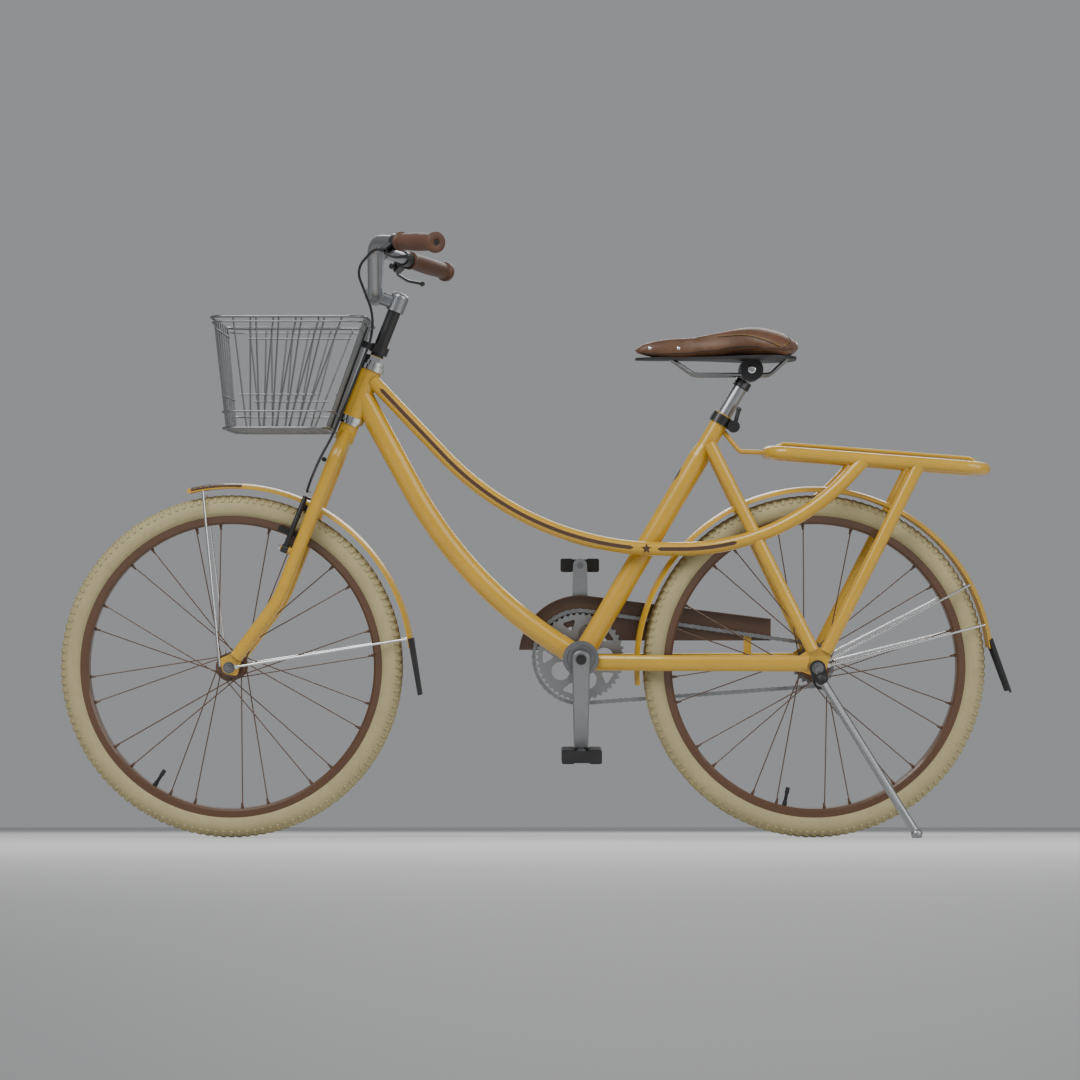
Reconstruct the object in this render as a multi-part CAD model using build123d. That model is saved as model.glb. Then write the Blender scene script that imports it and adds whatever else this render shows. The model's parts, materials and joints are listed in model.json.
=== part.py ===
"""A single-rider town bicycle with a curved twin-tube frame, standing on its kickstand.

The bicycle is drawn upright first: x runs rearwards from the rear axle, y to the rider's right
(the chain side) and z up from the floor, in millimetres. At the end every piece is leaned onto
the kickstand and moved so that the origin lies on the floor under the middle of the bicycle.
"""

from build123d import *
from math import asin, atan2, cos, hypot, pi, radians, sin, tan
import os

# ---- wheels ----
WHEEL_R = 325.0
TYRE_R = 23.5
TYRE_WALL = 3.5
RIM_EDGE_R = 286.0
RIM_WELL_R = 270.0
RIM_HALF_WIDTH = 15.5
RIM_WALL = 2.1
RIM_FLOOR_HALF = 7.0
SPOKES = 24
SPOKE_R = 1.15
SPOKE_PAIR_GAP = 10.4
SPOKE_PHASE = 9.5
SPOKE_LEAN = 68.0
FLANGE_R = 27.0
FLANGE_HOLE_R = 23.0
FLANGE_THICK = 3.0
HUB_BARREL_R = 15.0
HUB_WALL = 3.0
HUB_BOSS_R = 18.0
FRONT_AXLE_R = 4.5
REAR_AXLE_R = 5.0
REAR_SPACER_R = 8.0
WASHER_R = 11.0
WASHER_THICK = 2.0
NUT_R = 9.0
NUT_TALL = 8.0
FRONT_FLANGE_Y = 33.0
REAR_FLANGE_Y = 31.0

# ---- stance ----
WHEELBASE = 1105.0
LEAN = 6.0
FORK_DROPOUT_Y = 50.0
REAR_DROPOUT_Y = 65.0
DROPOUT_THICK = 5.0

# ---- bottom bracket, cranks and chain ----
BB_X = -443.0
BB_Z = 341.0
BB_SHELL_R = 29.0
BB_SHELL_BORE_R = 25.6
BB_SHELL_HALF = 34.0
BB_CUP_R = 34.0
BB_CUP_LIP = 6.0
BB_BALLS = 11
BB_BALL_R = 3.0
SPINDLE_R = 8.5
CHAIN_Y = 47.0
CHAIN_PITCH = 12.7
RING_TEETH = 44
SPROCKET_TEETH = 20
RING_THICK = 2.6
ROLLER_R = 3.9
TOOTH_TALL = 4.2
CHAIN_PLATE = 1.5
CHAIN_PLATE_HALF = 3.9
CHAIN_HALF = 3.3
CRANK_LENGTH = 175.0
CRANK_INNER_Y = 58.0
CRANK_THICK = 13.0
GUARD_R = 118.0
GUARD_OPENING_R = 60.0
GUARD_REAR = (-77.0, 89.0)
GUARD_LOW = 47.0
GUARD_SHEET = 1.4
GUARD_LIP = 15.0
GUARD_OUT = 6.6
PEDAL_AXLE_R = 5.0
PEDAL_LENGTH = 92.0
PEDAL_WIDTH = 74.0
PEDAL_THICK = 26.0
PEDAL_CORE_R = 10.5
PEDAL_PLATE = 3.0
PEDAL_GROOVES = 4

# ---- frame tubes ----
HEAD_ANGLE = 68.5
FORK_RAKE = 40.0
HEAD_LOW = 514.5
HEADSET_CUP = 10.0
HEAD_TUBE = 95.0
HEAD_R = 20.5
HEAD_BORE_R = 18.0
HEAD_CUP_R = 23.5
HEAD_BALLS = 16
HEAD_BALL_R = 2.0
HEAD_RACE_R = 20.0
DOWN_TUBE_R = 21.0
TOP_TUBE_R = 13.0
TOP_TUBE_FRONT = (-838.0, 10.0, 868.0)
TOP_TUBE_DIP = (-534.0, -68.0, 548.0)
TOP_TUBE_REAR = (88.0, 715.0)
TOP_TUBE_BENDS = [569.0, 430.0]
DOWN_TUBE_HEAD = (-858.0, 838.0)
DOWN_TUBE_ELBOW = (-660.0, 475.0)
DOWN_TUBE_BEND = 820.0
CROSS_BOSS_HALF = 33.0
CROSS_BOSS_R = 9.0
SEAT_ANGLE = 59.4
SEAT_TUBE = 536.0
SEAT_TUBE_R = 20.0
SEAT_NECK_R = 17.0
SEAT_NECK = 95.0
SEAT_SLIT = 3.0
STAY_R = 12.0
TUBE_WALL = 1.5
CHAIN_STAY_WIDE = 16.0
CHAIN_STAY_TALL = 30.0
CHAIN_STAY_Z = 333.0

# ---- fork, stem and handlebar ----
STEERER_R = 14.3
QUILL_R = 12.7
BLADE_R = 12.5
BLADE_Y = 48.0
BLADE_WALL = 1.5
FORK_PLATE_EYE = (7.0, 26.0)
BRAKE_PIVOT_Z = 246.0
BRAKE_Y = 43.0
BRAKE_TOP_Z = 352.0
BRAKE_BLOCK_Z = 278.0
BRAKE_PIN_R = 4.0
BRAKE_ARM_R = 5.0
CABLE_R = 2.4
CABLE_WIRE_R = 0.9
CROWN_R = 18.0
CROWN_Z = 509.0
QUILL_TOP = 742.0
QUILL_WALL = 3.2
STEM_HEAD_R = 17.0
STEM_TALL = 25.0
STEM_REACH = 46.0
STEM_RISE = 755.0
BAR_R = 11.1
BAR_CLAMP_R = 12.7
BAR_END = (-707.0, 270.0, 1101.0)
BAR_BEND = (-832.0, 85.0, 1124.0)
BAR_BASE_Y = 34.0
GRIP_R = 15.5
GRIP_LENGTH = 125.0
LEVER_PIVOT = (24.0, GRIP_LENGTH + 10.0)
LEVER_PIN_R = 2.5
LEVER_BLADE_R = 3.1
LEVER_TIP = (20.0, 104.0)

# ---- seat ----
SEATPOST_R = 13.6
SEATPOST_LENGTH = 260.0
SEATPOST_EXPOSED = 99.0
SEATPOST_HEAD = 38.0
SEATPOST_HEAD_R = 15.5
SEATPOST_WALL = 2.2
CLAMP_DISC_R = 22.0
CLAMP_HALF = 27.5
CLAMP_PIN_R = 3.5
SKEWER_R = 2.5
CAM_R = 11.5
RAIL_R = 3.5
RAIL_Y = 22.0
RAIL_DROP = 9.5
SADDLE_NOSE_X = -348.0
SADDLE_TAIL_X = -24.0
SADDLE_LOW_Z = 911.0
SADDLE_TOP_Z = 968.0
SADDLE_BASE = 5.0
SADDLE_HALF_WIDTH = 95.0

# ---- fenders, rack, basket and stand ----
REAR_FENDER_R = 342.0
REAR_FENDER_ARC = (6.0, 186.0)
REAR_FLAP_TIP = (373.0, -47.0)
FRONT_FENDER_R = 348.0
FRONT_FENDER_ARC = (6.0, 104.0)
FRONT_FLAP_TIP = (360.0, -53.0)
FLAP_THICK = 2.0
FENDER_HALF_WIDTH = 25.0
FENDER_SAG = 9.0
FENDER_SHEET = 1.2
FENDER_STAY_R = 2.2
RACK_RAIL_R = 12.0
RACK_CORNER_R = 38.0
RACK_ROD_R = 3.6
RACK_STRUT_X = 193.0
RACK_HALF_WIDTH = 58.0
RACK_FRONT = (-87.0, 731.0)
RACK_REAR = (320.0, 699.0)
BASKET_TOP_Z = 978.0
BASKET_LOW_Z = 773.0
BASKET_TOP = (-1126.0, -846.0, 145.0)
BASKET_LOW = (-1106.0, -920.0, 125.0)
BASKET_WIRE_R = 1.6
BASKET_RIM_R = 2.6
BASKET_CORNER_R = 34.0
STAND_PIVOT = (6.0, -88.0, 303.0)
STAND_FOOT = (166.0, -215.0)
STAND_R = 8.0
STAND_PLATE = 6.0
STAND_EYE_R = 12.0
STAND_PIN_R = 5.0

# ---- fits ----
RUNNING = 0.05
APART = 0.4

BB = Vector(BB_X, 0, BB_Z)
REAR_AXLE = Vector(0, 0, WHEEL_R)
FRONT_AXLE = Vector(-WHEELBASE, 0, WHEEL_R)
HEAD_TOP = HEAD_LOW + HEAD_TUBE + 2 * HEADSET_CUP


def slanted(origin, angle):
    """A plane whose z axis leans back at an angle from the horizontal, with x to the rear of it."""
    up = (cos(radians(angle)), 0, sin(radians(angle)))
    rear = (sin(radians(angle)), 0, -cos(radians(angle)))
    return Plane(origin=origin, x_dir=rear, z_dir=up)


# Fork pieces are drawn about the front axle, with z along the steering axis and x to its rear.
STEER = slanted(FRONT_AXLE, HEAD_ANGLE)
SEAT = slanted(BB, SEAT_ANGLE)


def in_steer(x, y, z):
    return STEER.from_local_coords(Vector(x, y, z))


def in_seat(x, y, z):
    return SEAT.from_local_coords(Vector(x, y, z))


def route(points, bends):
    """Straight runs through the points, joined by tangent arcs of the given radii."""
    if len(points) == 2:
        return Polyline(*points)
    return FilletPolyline(*points, radius=bends)


def bar(points, radius, bends=None):
    """A round rod along a route."""
    path = route(points, bends)
    start = Plane(origin=path @ 0, z_dir=path % 0)
    return sweep(start * Circle(radius), path=path)


def rod(start, end, radius):
    """A straight round rod between two points."""
    start, end = Vector(*start), Vector(*end)
    along = end - start
    rod_at = Plane(origin=start, z_dir=along)
    return rod_at * Cylinder(radius, along.length, align=(Align.CENTER, Align.CENTER, Align.MIN))


def across(x, z, low_y, high_y, radius):
    """A round bar across the bicycle."""
    return rod((x, low_y, z), (x, high_y, z), radius)


def ring(outer, inner, low, high):
    """A ring round the local z axis, between two heights."""
    body = Cylinder(outer, high - low, align=(Align.CENTER, Align.CENTER, Align.MIN))
    hole = Cylinder(inner, high - low, align=(Align.CENTER, Align.CENTER, Align.MIN))
    return Pos(0, 0, low) * (body - hole)


def disc(outer, low, high):
    """A cylinder on the local z axis, between two heights."""
    return Pos(0, 0, low) * Cylinder(outer, high - low, align=(Align.CENTER, Align.CENTER, Align.MIN))


def side_plane(centre):
    """A plane seen from the left side: x to the rear, y up, z to the left."""
    return Plane(origin=centre, x_dir=(1, 0, 0), z_dir=(0, -1, 0))


def hub_plane(centre):
    """A plane whose z axis runs along a wheel's axle, to the right."""
    return Plane(origin=centre, x_dir=(1, 0, 0), z_dir=(0, 1, 0))


def mirrored(shape):
    return mirror(shape, about=Plane.XZ)


def pair(shape):
    """A piece on the left and its mirror on the right, or the other way round."""
    return [shape, mirrored(shape)]


def spun(section, centre, start=0.0, turn=360.0):
    """A section (radius, side) turned about an axle, counted from the rear and upwards."""
    swept = revolve(section, axis=Axis((0, 0, 0), (0, -1, 0)), revolution_arc=turn)
    return Pos(*centre) * Rot(0, -start, 0) * swept


def polar(centre, radius, angle, y=0.0):
    """A point round an axle, counted from the rear and upwards."""
    a = radians(angle)
    return Vector(centre.X + radius * cos(a), y, centre.Z + radius * sin(a))


# ---------------------------------------------------------------- wheels


def tyre(axle):
    """An open hollow ring whose beads sit on the edges of the rim."""
    middle = WHEEL_R - TYRE_R
    section = Pos(middle, 0) * Circle(TYRE_R) - Pos(middle, 0) * Circle(TYRE_R - TYRE_WALL)
    section -= Pos(RIM_EDGE_R - TYRE_R, 0) * Rectangle(2 * TYRE_R, 3 * TYRE_R)
    return spun(section, axle)


def rim(axle):
    """A channel with a raised well, two side walls and hooked edges."""
    edge, width, wall = RIM_EDGE_R, RIM_HALF_WIDTH, RIM_WALL
    well = RIM_WELL_R
    floor = well + 2 * wall
    half = [
        (well, 0),
        (well, width - 5),
        (well + 4, width - 1.5),
        (edge, width),
        (edge, width - 2 * wall),
        (edge - 2, width - 2 * wall),
        (edge - 3, width - wall),
        (floor + 2, width - wall - 0.5),
        (floor, RIM_FLOOR_HALF),
        (floor, 0),
    ]
    outline = half + [(r, -y) for r, y in reversed(half[1:-1])]
    return spun(make_face(Polyline(*outline, close=True)), axle)


def spokes(axle, flange_y):
    """Crossed spokes: each side's twelve leave the flange forwards and backwards in turn."""
    made = []
    per_side = SPOKES // 2
    step = 360 / per_side
    for side in (-1, 1):
        for k in range(per_side):
            seat = SPOKE_PHASE + side * SPOKE_PAIR_GAP / 2 + k * step
            turn = 1 if k % 2 else -1
            face_y = side * (flange_y + turn * FLANGE_THICK / 2)
            elbow_y = face_y + side * turn * 3.6
            head = polar(axle, FLANGE_HOLE_R, seat + turn * SPOKE_LEAN, face_y)
            elbow = polar(axle, FLANGE_HOLE_R, seat + turn * SPOKE_LEAN, elbow_y)
            outer = polar(axle, RIM_WELL_R, seat, side * 2.0)
            end = outer - (outer - elbow).normalized() * 1.5
            made.append(bar([head, elbow, end], SPOKE_R, [2.4]))
    return made


def hub(axle, flange_y, shell_half, axle_r, boss_r=0.0, boss_end=0.0):
    """A barrel with two spoke flanges that turns on the axle at both ends."""
    half = [
        (axle_r + RUNNING, shell_half),
        (axle_r + 5, shell_half),
        (HUB_BARREL_R + 3, shell_half - 4),
        (HUB_BARREL_R + 3, flange_y + FLANGE_THICK / 2),
        (FLANGE_R, flange_y + FLANGE_THICK / 2),
        (FLANGE_R, flange_y - FLANGE_THICK / 2),
        (HUB_BARREL_R + 3, flange_y - FLANGE_THICK / 2),
        (HUB_BARREL_R, flange_y - 9),
    ]
    hollow = [(HUB_BARREL_R - HUB_WALL, shell_half - 12), (axle_r + RUNNING, shell_half - 12)]
    outline = half + [(r, -y) for r, y in reversed(half)]
    cavity = hollow + [(r, -y) for r, y in reversed(hollow)]
    body = spun(make_face(Polyline(*outline, close=True)), axle)
    body -= spun(make_face(Polyline(*cavity, close=True)), axle)
    if boss_r:
        body += hub_plane(axle) * ring(boss_r, axle_r + RUNNING, flange_y + 1, boss_end)
    return body


def toothed(teeth, thickness):
    """A toothed plate whose tips stay just inside the rollers of the chain that wraps it."""
    pitch_r = CHAIN_PITCH / (2 * sin(pi / teeth))
    tip = pitch_r - ROLLER_R - APART
    root = tip - TOOTH_TALL
    points = []
    for k in range(teeth):
        for share, radius in ((-0.34, root), (-0.14, tip), (0.14, tip), (0.34, root)):
            a = 2 * pi * (k + 0.5 + share) / teeth
            points.append((radius * cos(a), radius * sin(a)))
    return extrude(make_face(Polyline(*points, close=True)), amount=thickness / 2, both=True)


def rear_sprocket():
    """The sprocket on its freewheel, which turns on the hub's boss."""
    body = toothed(SPROCKET_TEETH, RING_THICK) + disc(27, -7.5, 4) - disc(HUB_BOSS_R + RUNNING, -9, 9)
    return hub_plane(REAR_AXLE + Vector(0, CHAIN_Y, 0)) * body


# ---------------------------------------------------------------- frame


def on_steering(shape):
    """Puts a shape drawn about the steering axis in place."""
    return STEER * Pos(FORK_RAKE, 0, 0) * shape


def head_outer():
    low = HEAD_LOW + HEADSET_CUP
    return on_steering(disc(HEAD_R, low, low + HEAD_TUBE))


def ahead_of_head():
    """Everything in front of the steering axis, near the head tube."""
    return STEER * Pos(FORK_RAKE - 100, 0, HEAD_LOW + 50) * Box(200, 200, 400)


def head_tube():
    low = HEAD_LOW + HEADSET_CUP
    return on_steering(ring(HEAD_R, HEAD_BORE_R, low, low + HEAD_TUBE))


def down_tube_bar(radius):
    """The down tube's curve at a radius, from the head tube to the bottom bracket."""
    corners = [DOWN_TUBE_HEAD, DOWN_TUBE_ELBOW, (BB_X, BB_Z)]
    return bar([(x, 0, z) for x, z in corners], radius, [DOWN_TUBE_BEND])


def top_tube_route():
    """The left top tube dips to the crank and climbs to the rack, spreading all the way."""
    front, front_y, front_z = TOP_TUBE_FRONT
    dip, climb, low_z = TOP_TUBE_DIP
    rear, rear_z = TOP_TUBE_REAR

    def side(x):
        return -front_y - (RACK_HALF_WIDTH - front_y) * (x - front) / (rear - front)

    places = [(front, front_z), (dip, low_z), (climb, low_z), (rear, rear_z)]
    return [(x, side(x), z) for x, z in places]


def down_tube():
    body = down_tube_bar(DOWN_TUBE_R) - down_tube_bar(DOWN_TUBE_R - TUBE_WALL)
    body = body - head_outer() - ahead_of_head() - seat_outer() - shell_outer()
    return body - on_steering(disc(HEAD_CUP_R + APART, HEAD_LOW - 5, HEAD_LOW + HEADSET_CUP))


def top_outer():
    left = bar(top_tube_route(), TOP_TUBE_R, TOP_TUBE_BENDS)
    return left + mirrored(left)


def top_tubes():
    left = bar(top_tube_route(), TOP_TUBE_R - TUBE_WALL, TOP_TUBE_BENDS)
    body = top_outer() - left - mirrored(left) - down_tube_bar(DOWN_TUBE_R)
    return body - head_outer() - ahead_of_head() - rack_rails() - cross_boss()


def cross_boss():
    """The stub through the seat tube that carries both top tubes."""
    z = TOP_TUBE_DIP[2]
    x = BB_X + (z - BB_Z) / tan(radians(SEAT_ANGLE))
    return across(x, z, -CROSS_BOSS_HALF, CROSS_BOSS_HALF, CROSS_BOSS_R)


def shell_outer():
    return hub_plane(BB) * disc(BB_SHELL_R, -BB_SHELL_HALF, BB_SHELL_HALF)


def seat_outer():
    neck_low = SEAT_TUBE - SEAT_NECK
    lower = disc(SEAT_TUBE_R, 0, neck_low)
    cone = Pos(0, 0, neck_low) * Cone(
        SEAT_TUBE_R, SEAT_NECK_R, 25, align=(Align.CENTER, Align.CENTER, Align.MIN)
    )
    return SEAT * (lower + cone + disc(SEAT_NECK_R, neck_low + 25, SEAT_TUBE))


def seat_tube():
    """The seat tube with the bottom bracket shell and the cross boss welded to it."""
    bore_low = SEAT_TUBE - 110
    inner = disc(SEAT_TUBE_R - TUBE_WALL, 0, bore_low)
    inner += disc(SEATPOST_R + RUNNING, bore_low, SEAT_TUBE + 1)
    body = seat_outer() + shell_outer() + cross_boss() - SEAT * inner
    body -= SEAT * Pos(SEAT_NECK_R, 0, SEAT_TUBE) * Box(2 * SEAT_NECK_R, SEAT_SLIT, 50)
    return body - hub_plane(BB) * disc(BB_SHELL_BORE_R, -50, 50)


def chain_stay_outer(shrink=0.0):
    points = [(-424, -18, CHAIN_STAY_Z), (-300, -42, CHAIN_STAY_Z), (-16, -68, CHAIN_STAY_Z)]
    path = FilletPolyline(*points, radius=250)
    start = Plane(origin=path @ 0, x_dir=(0, 0, 1), z_dir=path % 0)
    section = Ellipse(CHAIN_STAY_TALL / 2 - shrink, CHAIN_STAY_WIDE / 2 - shrink)
    return sweep(start * section, path=path)


def rear_dropout(side):
    """The plate that holds the axle, with its lugs for the stays and the strut."""
    y = side * (REAR_DROPOUT_Y + DROPOUT_THICK / 2)
    outline = make_hull(
        [
            *(Pos(0, 0) * Circle(17)).edges(),
            *(Pos(-34, 8) * Circle(12)).edges(),
            *(Pos(-6, 30) * Circle(10)).edges(),
            *(Pos(16, 26) * Circle(9)).edges(),
        ]
    )
    plate = extrude(outline - Circle(REAR_AXLE_R), amount=DROPOUT_THICK / 2, both=True)
    return side_plane(REAR_AXLE + Vector(0, y, 0)) * plate


def chain_stays():
    """Both chain stays with the axle plates, and the tab that carries the chain guard."""
    stay = chain_stay_outer() - chain_stay_outer(TUBE_WALL) - shell_outer()
    left = rear_dropout(-1)
    left += stay - rear_dropout(-1) - hub_plane(REAR_AXLE) * disc(20, -90, 90)
    right = mirrored(left)
    low, high = CHAIN_STAY_Z + 4, CHAIN_STAY_Z + 51
    tab = Pos(-122, CHAIN_Y + 5.4, (low + high) / 2) * Box(15, 2.4, high - low)
    right += tab - mirrored(chain_stay_outer())
    return [left, right]


def seat_stay_route():
    foot = REAR_AXLE + Vector(-8, -67.5, 32)
    return [in_seat(2, -26.5, SEAT_TUBE - 62), foot]


def seat_stays():
    top, foot = seat_stay_route()
    left = rod(top, foot, STAY_R) - rod(top, foot, STAY_R - TUBE_WALL)
    left = left - seat_outer() - rear_dropout(-1) - top_outer()
    return pair(left)


def rack_rails(radius=RACK_RAIL_R):
    """A closed loop of thick tube, falling slightly to the rear."""
    (x0, z0), (x1, z1) = RACK_FRONT, RACK_REAR
    w = RACK_HALF_WIDTH
    corners = [(x0, 0, z0), (x0, -w, z0), (x1, -w, z1), (x1, 0, z1)]
    half = bar(corners, radius, [RACK_CORNER_R, RACK_CORNER_R])
    return half + mirrored(half)


def rack_height(x):
    (x0, z0), (x1, z1) = RACK_FRONT, RACK_REAR
    return z0 + (z1 - z0) * (x - x0) / (x1 - x0)


def rear_rack():
    """The carrier: its loop, rods, cross bars, the struts from the axle and the front strut."""
    front_x, rear_x = RACK_FRONT[0], RACK_REAR[0]
    body = rack_rails()
    rise = RACK_RAIL_R + 6
    for y in (-26, 0, 26):
        stops = [(front_x + 1, 0), (front_x + 26, rise), (rear_x - 26, rise), (rear_x - 1, 0)]
        body += bar([(x, y, rack_height(x) + h) for x, h in stops], RACK_ROD_R, [18, 18])
    for share in (0.3, 0.72):
        x = front_x + share * (rear_x - front_x)
        body += across(x, rack_height(x) + 3, -RACK_HALF_WIDTH, RACK_HALF_WIDTH, RACK_ROD_R)
    top = (RACK_STRUT_X, -RACK_HALF_WIDTH, rack_height(RACK_STRUT_X))
    ends = [(16, -RACK_HALF_WIDTH - 9, WHEEL_R + 30), top]
    strut = rod(*ends, STAY_R) - rod(*ends, STAY_R - TUBE_WALL) - rear_dropout(-1)
    body += strut
    body += mirrored(strut)
    front = in_seat(SEAT_NECK_R - 1, 0, SEAT_TUBE - 28)
    elbow = Vector(-140, 0, RACK_FRONT[1] + 2)
    body += bar([front, elbow, (RACK_FRONT[0], 0, RACK_FRONT[1])], 4.5, [14])
    return body - rack_rails(RACK_RAIL_R - TUBE_WALL) - seat_outer()


def headset_cups():
    """Two cups in the ends of the head tube, each with a groove for its balls."""
    low, high = HEAD_LOW, HEAD_TOP
    bore, groove = STEERER_R + 1.3, HEAD_RACE_R + 0.6
    lower = ring(HEAD_CUP_R, bore, low, low + HEADSET_CUP) - ring(groove, bore, low - 1, low + 5)
    upper = ring(HEAD_CUP_R, bore, high - HEADSET_CUP, high) - ring(groove, bore, high - 5, high + 1)
    return [on_steering(lower), on_steering(upper)]


def bearing_balls():
    """The balls of the two headset bearings and the two bottom bracket bearings."""
    balls = []
    small_r, big_r = 18.1, 13.5
    for z in (HEAD_LOW + 2.4, HEAD_TOP - 2.4):
        for k in range(HEAD_BALLS):
            a = 2 * pi * k / HEAD_BALLS
            balls.append(on_steering(Pos(small_r * cos(a), small_r * sin(a), z) * Sphere(HEAD_BALL_R)))
    for y in (-BB_SHELL_HALF + 8, BB_SHELL_HALF - 8):
        for k in range(BB_BALLS):
            a = 2 * pi * k / BB_BALLS
            balls.append(hub_plane(BB) * Pos(big_r * cos(a), big_r * sin(a), y) * Sphere(BB_BALL_R))
    return balls


def bottom_bracket_cups():
    """Two stepped cups pressed into the shell, with a bore for the spindle."""
    inner = BB_SHELL_HALF - 16
    half = [
        (SPINDLE_R + RUNNING, BB_SHELL_HALF + BB_CUP_LIP),
        (BB_CUP_R - 9, BB_SHELL_HALF + BB_CUP_LIP),
        (BB_CUP_R - 8, BB_SHELL_HALF + 3),
        (BB_CUP_R, BB_SHELL_HALF + 3),
        (BB_CUP_R, BB_SHELL_HALF),
        (BB_SHELL_BORE_R, BB_SHELL_HALF),
        (BB_SHELL_BORE_R, inner),
        (17.0, inner),
        (17.0, BB_SHELL_HALF - 4),
        (SPINDLE_R + RUNNING, BB_SHELL_HALF - 4),
    ]
    return pair(spun(make_face(Polyline(*half, close=True)), BB))


def seat_clamp():
    """A split collar round the top of the seat tube, with two ears behind."""
    low, high = SEAT_TUBE - 20, SEAT_TUBE - 2
    collar = ring(SEAT_NECK_R + 4, SEAT_NECK_R, low, high)
    ears = Pos(SEAT_NECK_R + 7, 0, (low + high) / 2) * Box(15, 17, high - low)
    body = collar + (ears - disc(SEAT_NECK_R, low, high))
    body -= Pos(SEAT_NECK_R + 10, 0, SEAT_TUBE) * Box(30, SEAT_SLIT, 60)
    skewer = SEAT * skewer_place() * Rot(90, 0, 0) * disc(SKEWER_R, -16, 22)
    return [SEAT * body - skewer, skewer]


def skewer_place():
    return Pos(SEAT_NECK_R + 9, 0, SEAT_TUBE - 11)


def seat_clamp_lever():
    """The quick-release lever: a round cam on the skewer's end, with its arm up beside the post."""
    cam = Rot(90, 0, 0) * disc(CAM_R, 15.5, 24.5)
    arm = bar([(0, -20, 6), (-4, -20, 18), (-8, -19, 33)], 4.0, [18])
    tip = Pos(-8, -19, 33) * Sphere(5.0)
    bore = Rot(90, 0, 0) * disc(SKEWER_R + RUNNING, 10, 22.4)
    return SEAT * skewer_place() * (cam + arm + tip - bore)


# ---------------------------------------------------------------- fenders


def fender_section(radius):
    low = radius - FENDER_SAG
    w, t = FENDER_HALF_WIDTH, FENDER_SHEET
    top = ThreePointArc((low, -w), (radius, 0), (low, w))
    under = ThreePointArc((low - t, w), (radius - t, 0), (low - t, -w))
    sides = [Line((low, w), (low - t, w)), Line((low - t, -w), (low, -w))]
    return make_face([top, sides[0], under, sides[1]])


def fender(axle, radius, arc):
    start, end = arc
    return spun(fender_section(radius), axle, start, end - start)


def flap_section(plane, half_width, sag, thickness):
    """A bowed strip across the bicycle, drawn in a plane whose y points away from the wheel."""
    w, t = half_width, thickness
    over = ThreePointArc((-w, -sag + t), (0, t), (w, -sag + t))
    under = ThreePointArc((w, -sag), (0, 0), (-w, -sag))
    ends = [Line((w, -sag + t), (w, -sag)), Line((-w, -sag), (-w, -sag + t))]
    return plane * make_face([over, ends[0], under, ends[1]])


def mud_flap(axle, radius, arc, tip):
    """A rubber flap over the tail of a fender, flaring away from the wheel as it drops."""
    start = polar(axle, radius + 0.1, arc[0] + 3)
    out = (start - axle).normalized()
    end = axle + Vector(tip[0], 0, tip[1])
    along = (end - start).normalized()
    top_plane = Plane(origin=start, x_dir=out.cross(along), z_dir=along)
    low_plane = Plane(origin=end, x_dir=out.cross(along), z_dir=along)
    top = flap_section(top_plane, FENDER_HALF_WIDTH, FENDER_SAG, FLAP_THICK)
    low = flap_section(low_plane, FENDER_HALF_WIDTH + 5, FENDER_SAG - 3, FLAP_THICK)
    return loft([top, low])


def fender_stays(axle, radius, tail_angles, foot_y, eyes):
    """Thin rods from beside the axle to the edges of a fender."""
    rods = []
    beside = FENDER_HALF_WIDTH + FENDER_STAY_R + 0.2
    for angle, eye in zip(tail_angles, eyes):
        top = polar(axle, radius - FENDER_SAG - 2, angle, -beside)
        foot = Vector(axle.X + eye[0], -foot_y, axle.Z + eye[1])
        rods += pair(rod(top, foot, FENDER_STAY_R))
    return rods


# ---------------------------------------------------------------- transmission


def ring_pitch_r():
    return CHAIN_PITCH / (2 * sin(pi / RING_TEETH))


def sprocket_pitch_r():
    return CHAIN_PITCH / (2 * sin(pi / SPROCKET_TEETH))


def chain_geometry():
    """The chain's straight runs and wraps, in a side view about the bottom bracket."""
    away = REAR_AXLE - BB
    gap = hypot(away.X, away.Z)
    tilt = atan2(away.Z, away.X)
    spread = asin((ring_pitch_r() - sprocket_pitch_r()) / gap)
    return gap, tilt, spread


def chain_points():
    """Places of the rollers along the loop, one for each pitch."""
    gap, tilt, spread = chain_geometry()
    big, small = ring_pitch_r(), sprocket_pitch_r()
    straight = gap * cos(spread)
    wrap_big, wrap_small = pi + 2 * spread, pi - 2 * spread
    total = 2 * straight + big * wrap_big + small * wrap_small
    links = 2 * round(total / CHAIN_PITCH / 2)
    marks = []
    for k in range(links):
        s = k * total / links
        if s < big * wrap_big:
            a = tilt + pi / 2 - spread + s / big
            marks.append((BB.X + big * cos(a), BB.Z + big * sin(a)))
            continue
        s -= big * wrap_big
        low = tilt - pi / 2 + spread
        if s < straight:
            x, z = BB.X + big * cos(low), BB.Z + big * sin(low)
            x1, z1 = small * cos(low), WHEEL_R + small * sin(low)
            marks.append((x + (x1 - x) * s / straight, z + (z1 - z) * s / straight))
            continue
        s -= straight
        if s < small * wrap_small:
            a = low + s / small
            marks.append((small * cos(a), WHEEL_R + small * sin(a)))
            continue
        s -= small * wrap_small
        high = tilt + pi / 2 - spread
        x, z = small * cos(high), WHEEL_R + small * sin(high)
        x1, z1 = BB.X + big * cos(high), BB.Z + big * sin(high)
        marks.append((x + (x1 - x) * s / straight, z + (z1 - z) * s / straight))
    return marks


def chain_band(reach):
    """The outline of the loop, grown outwards from the pitch line or shrunk inwards."""
    return make_hull(
        [
            *(Pos(0, 0) * Circle(sprocket_pitch_r() + reach)).edges(),
            *(Pos(BB.X, BB.Z - WHEEL_R) * Circle(ring_pitch_r() + reach)).edges(),
        ]
    )


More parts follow.
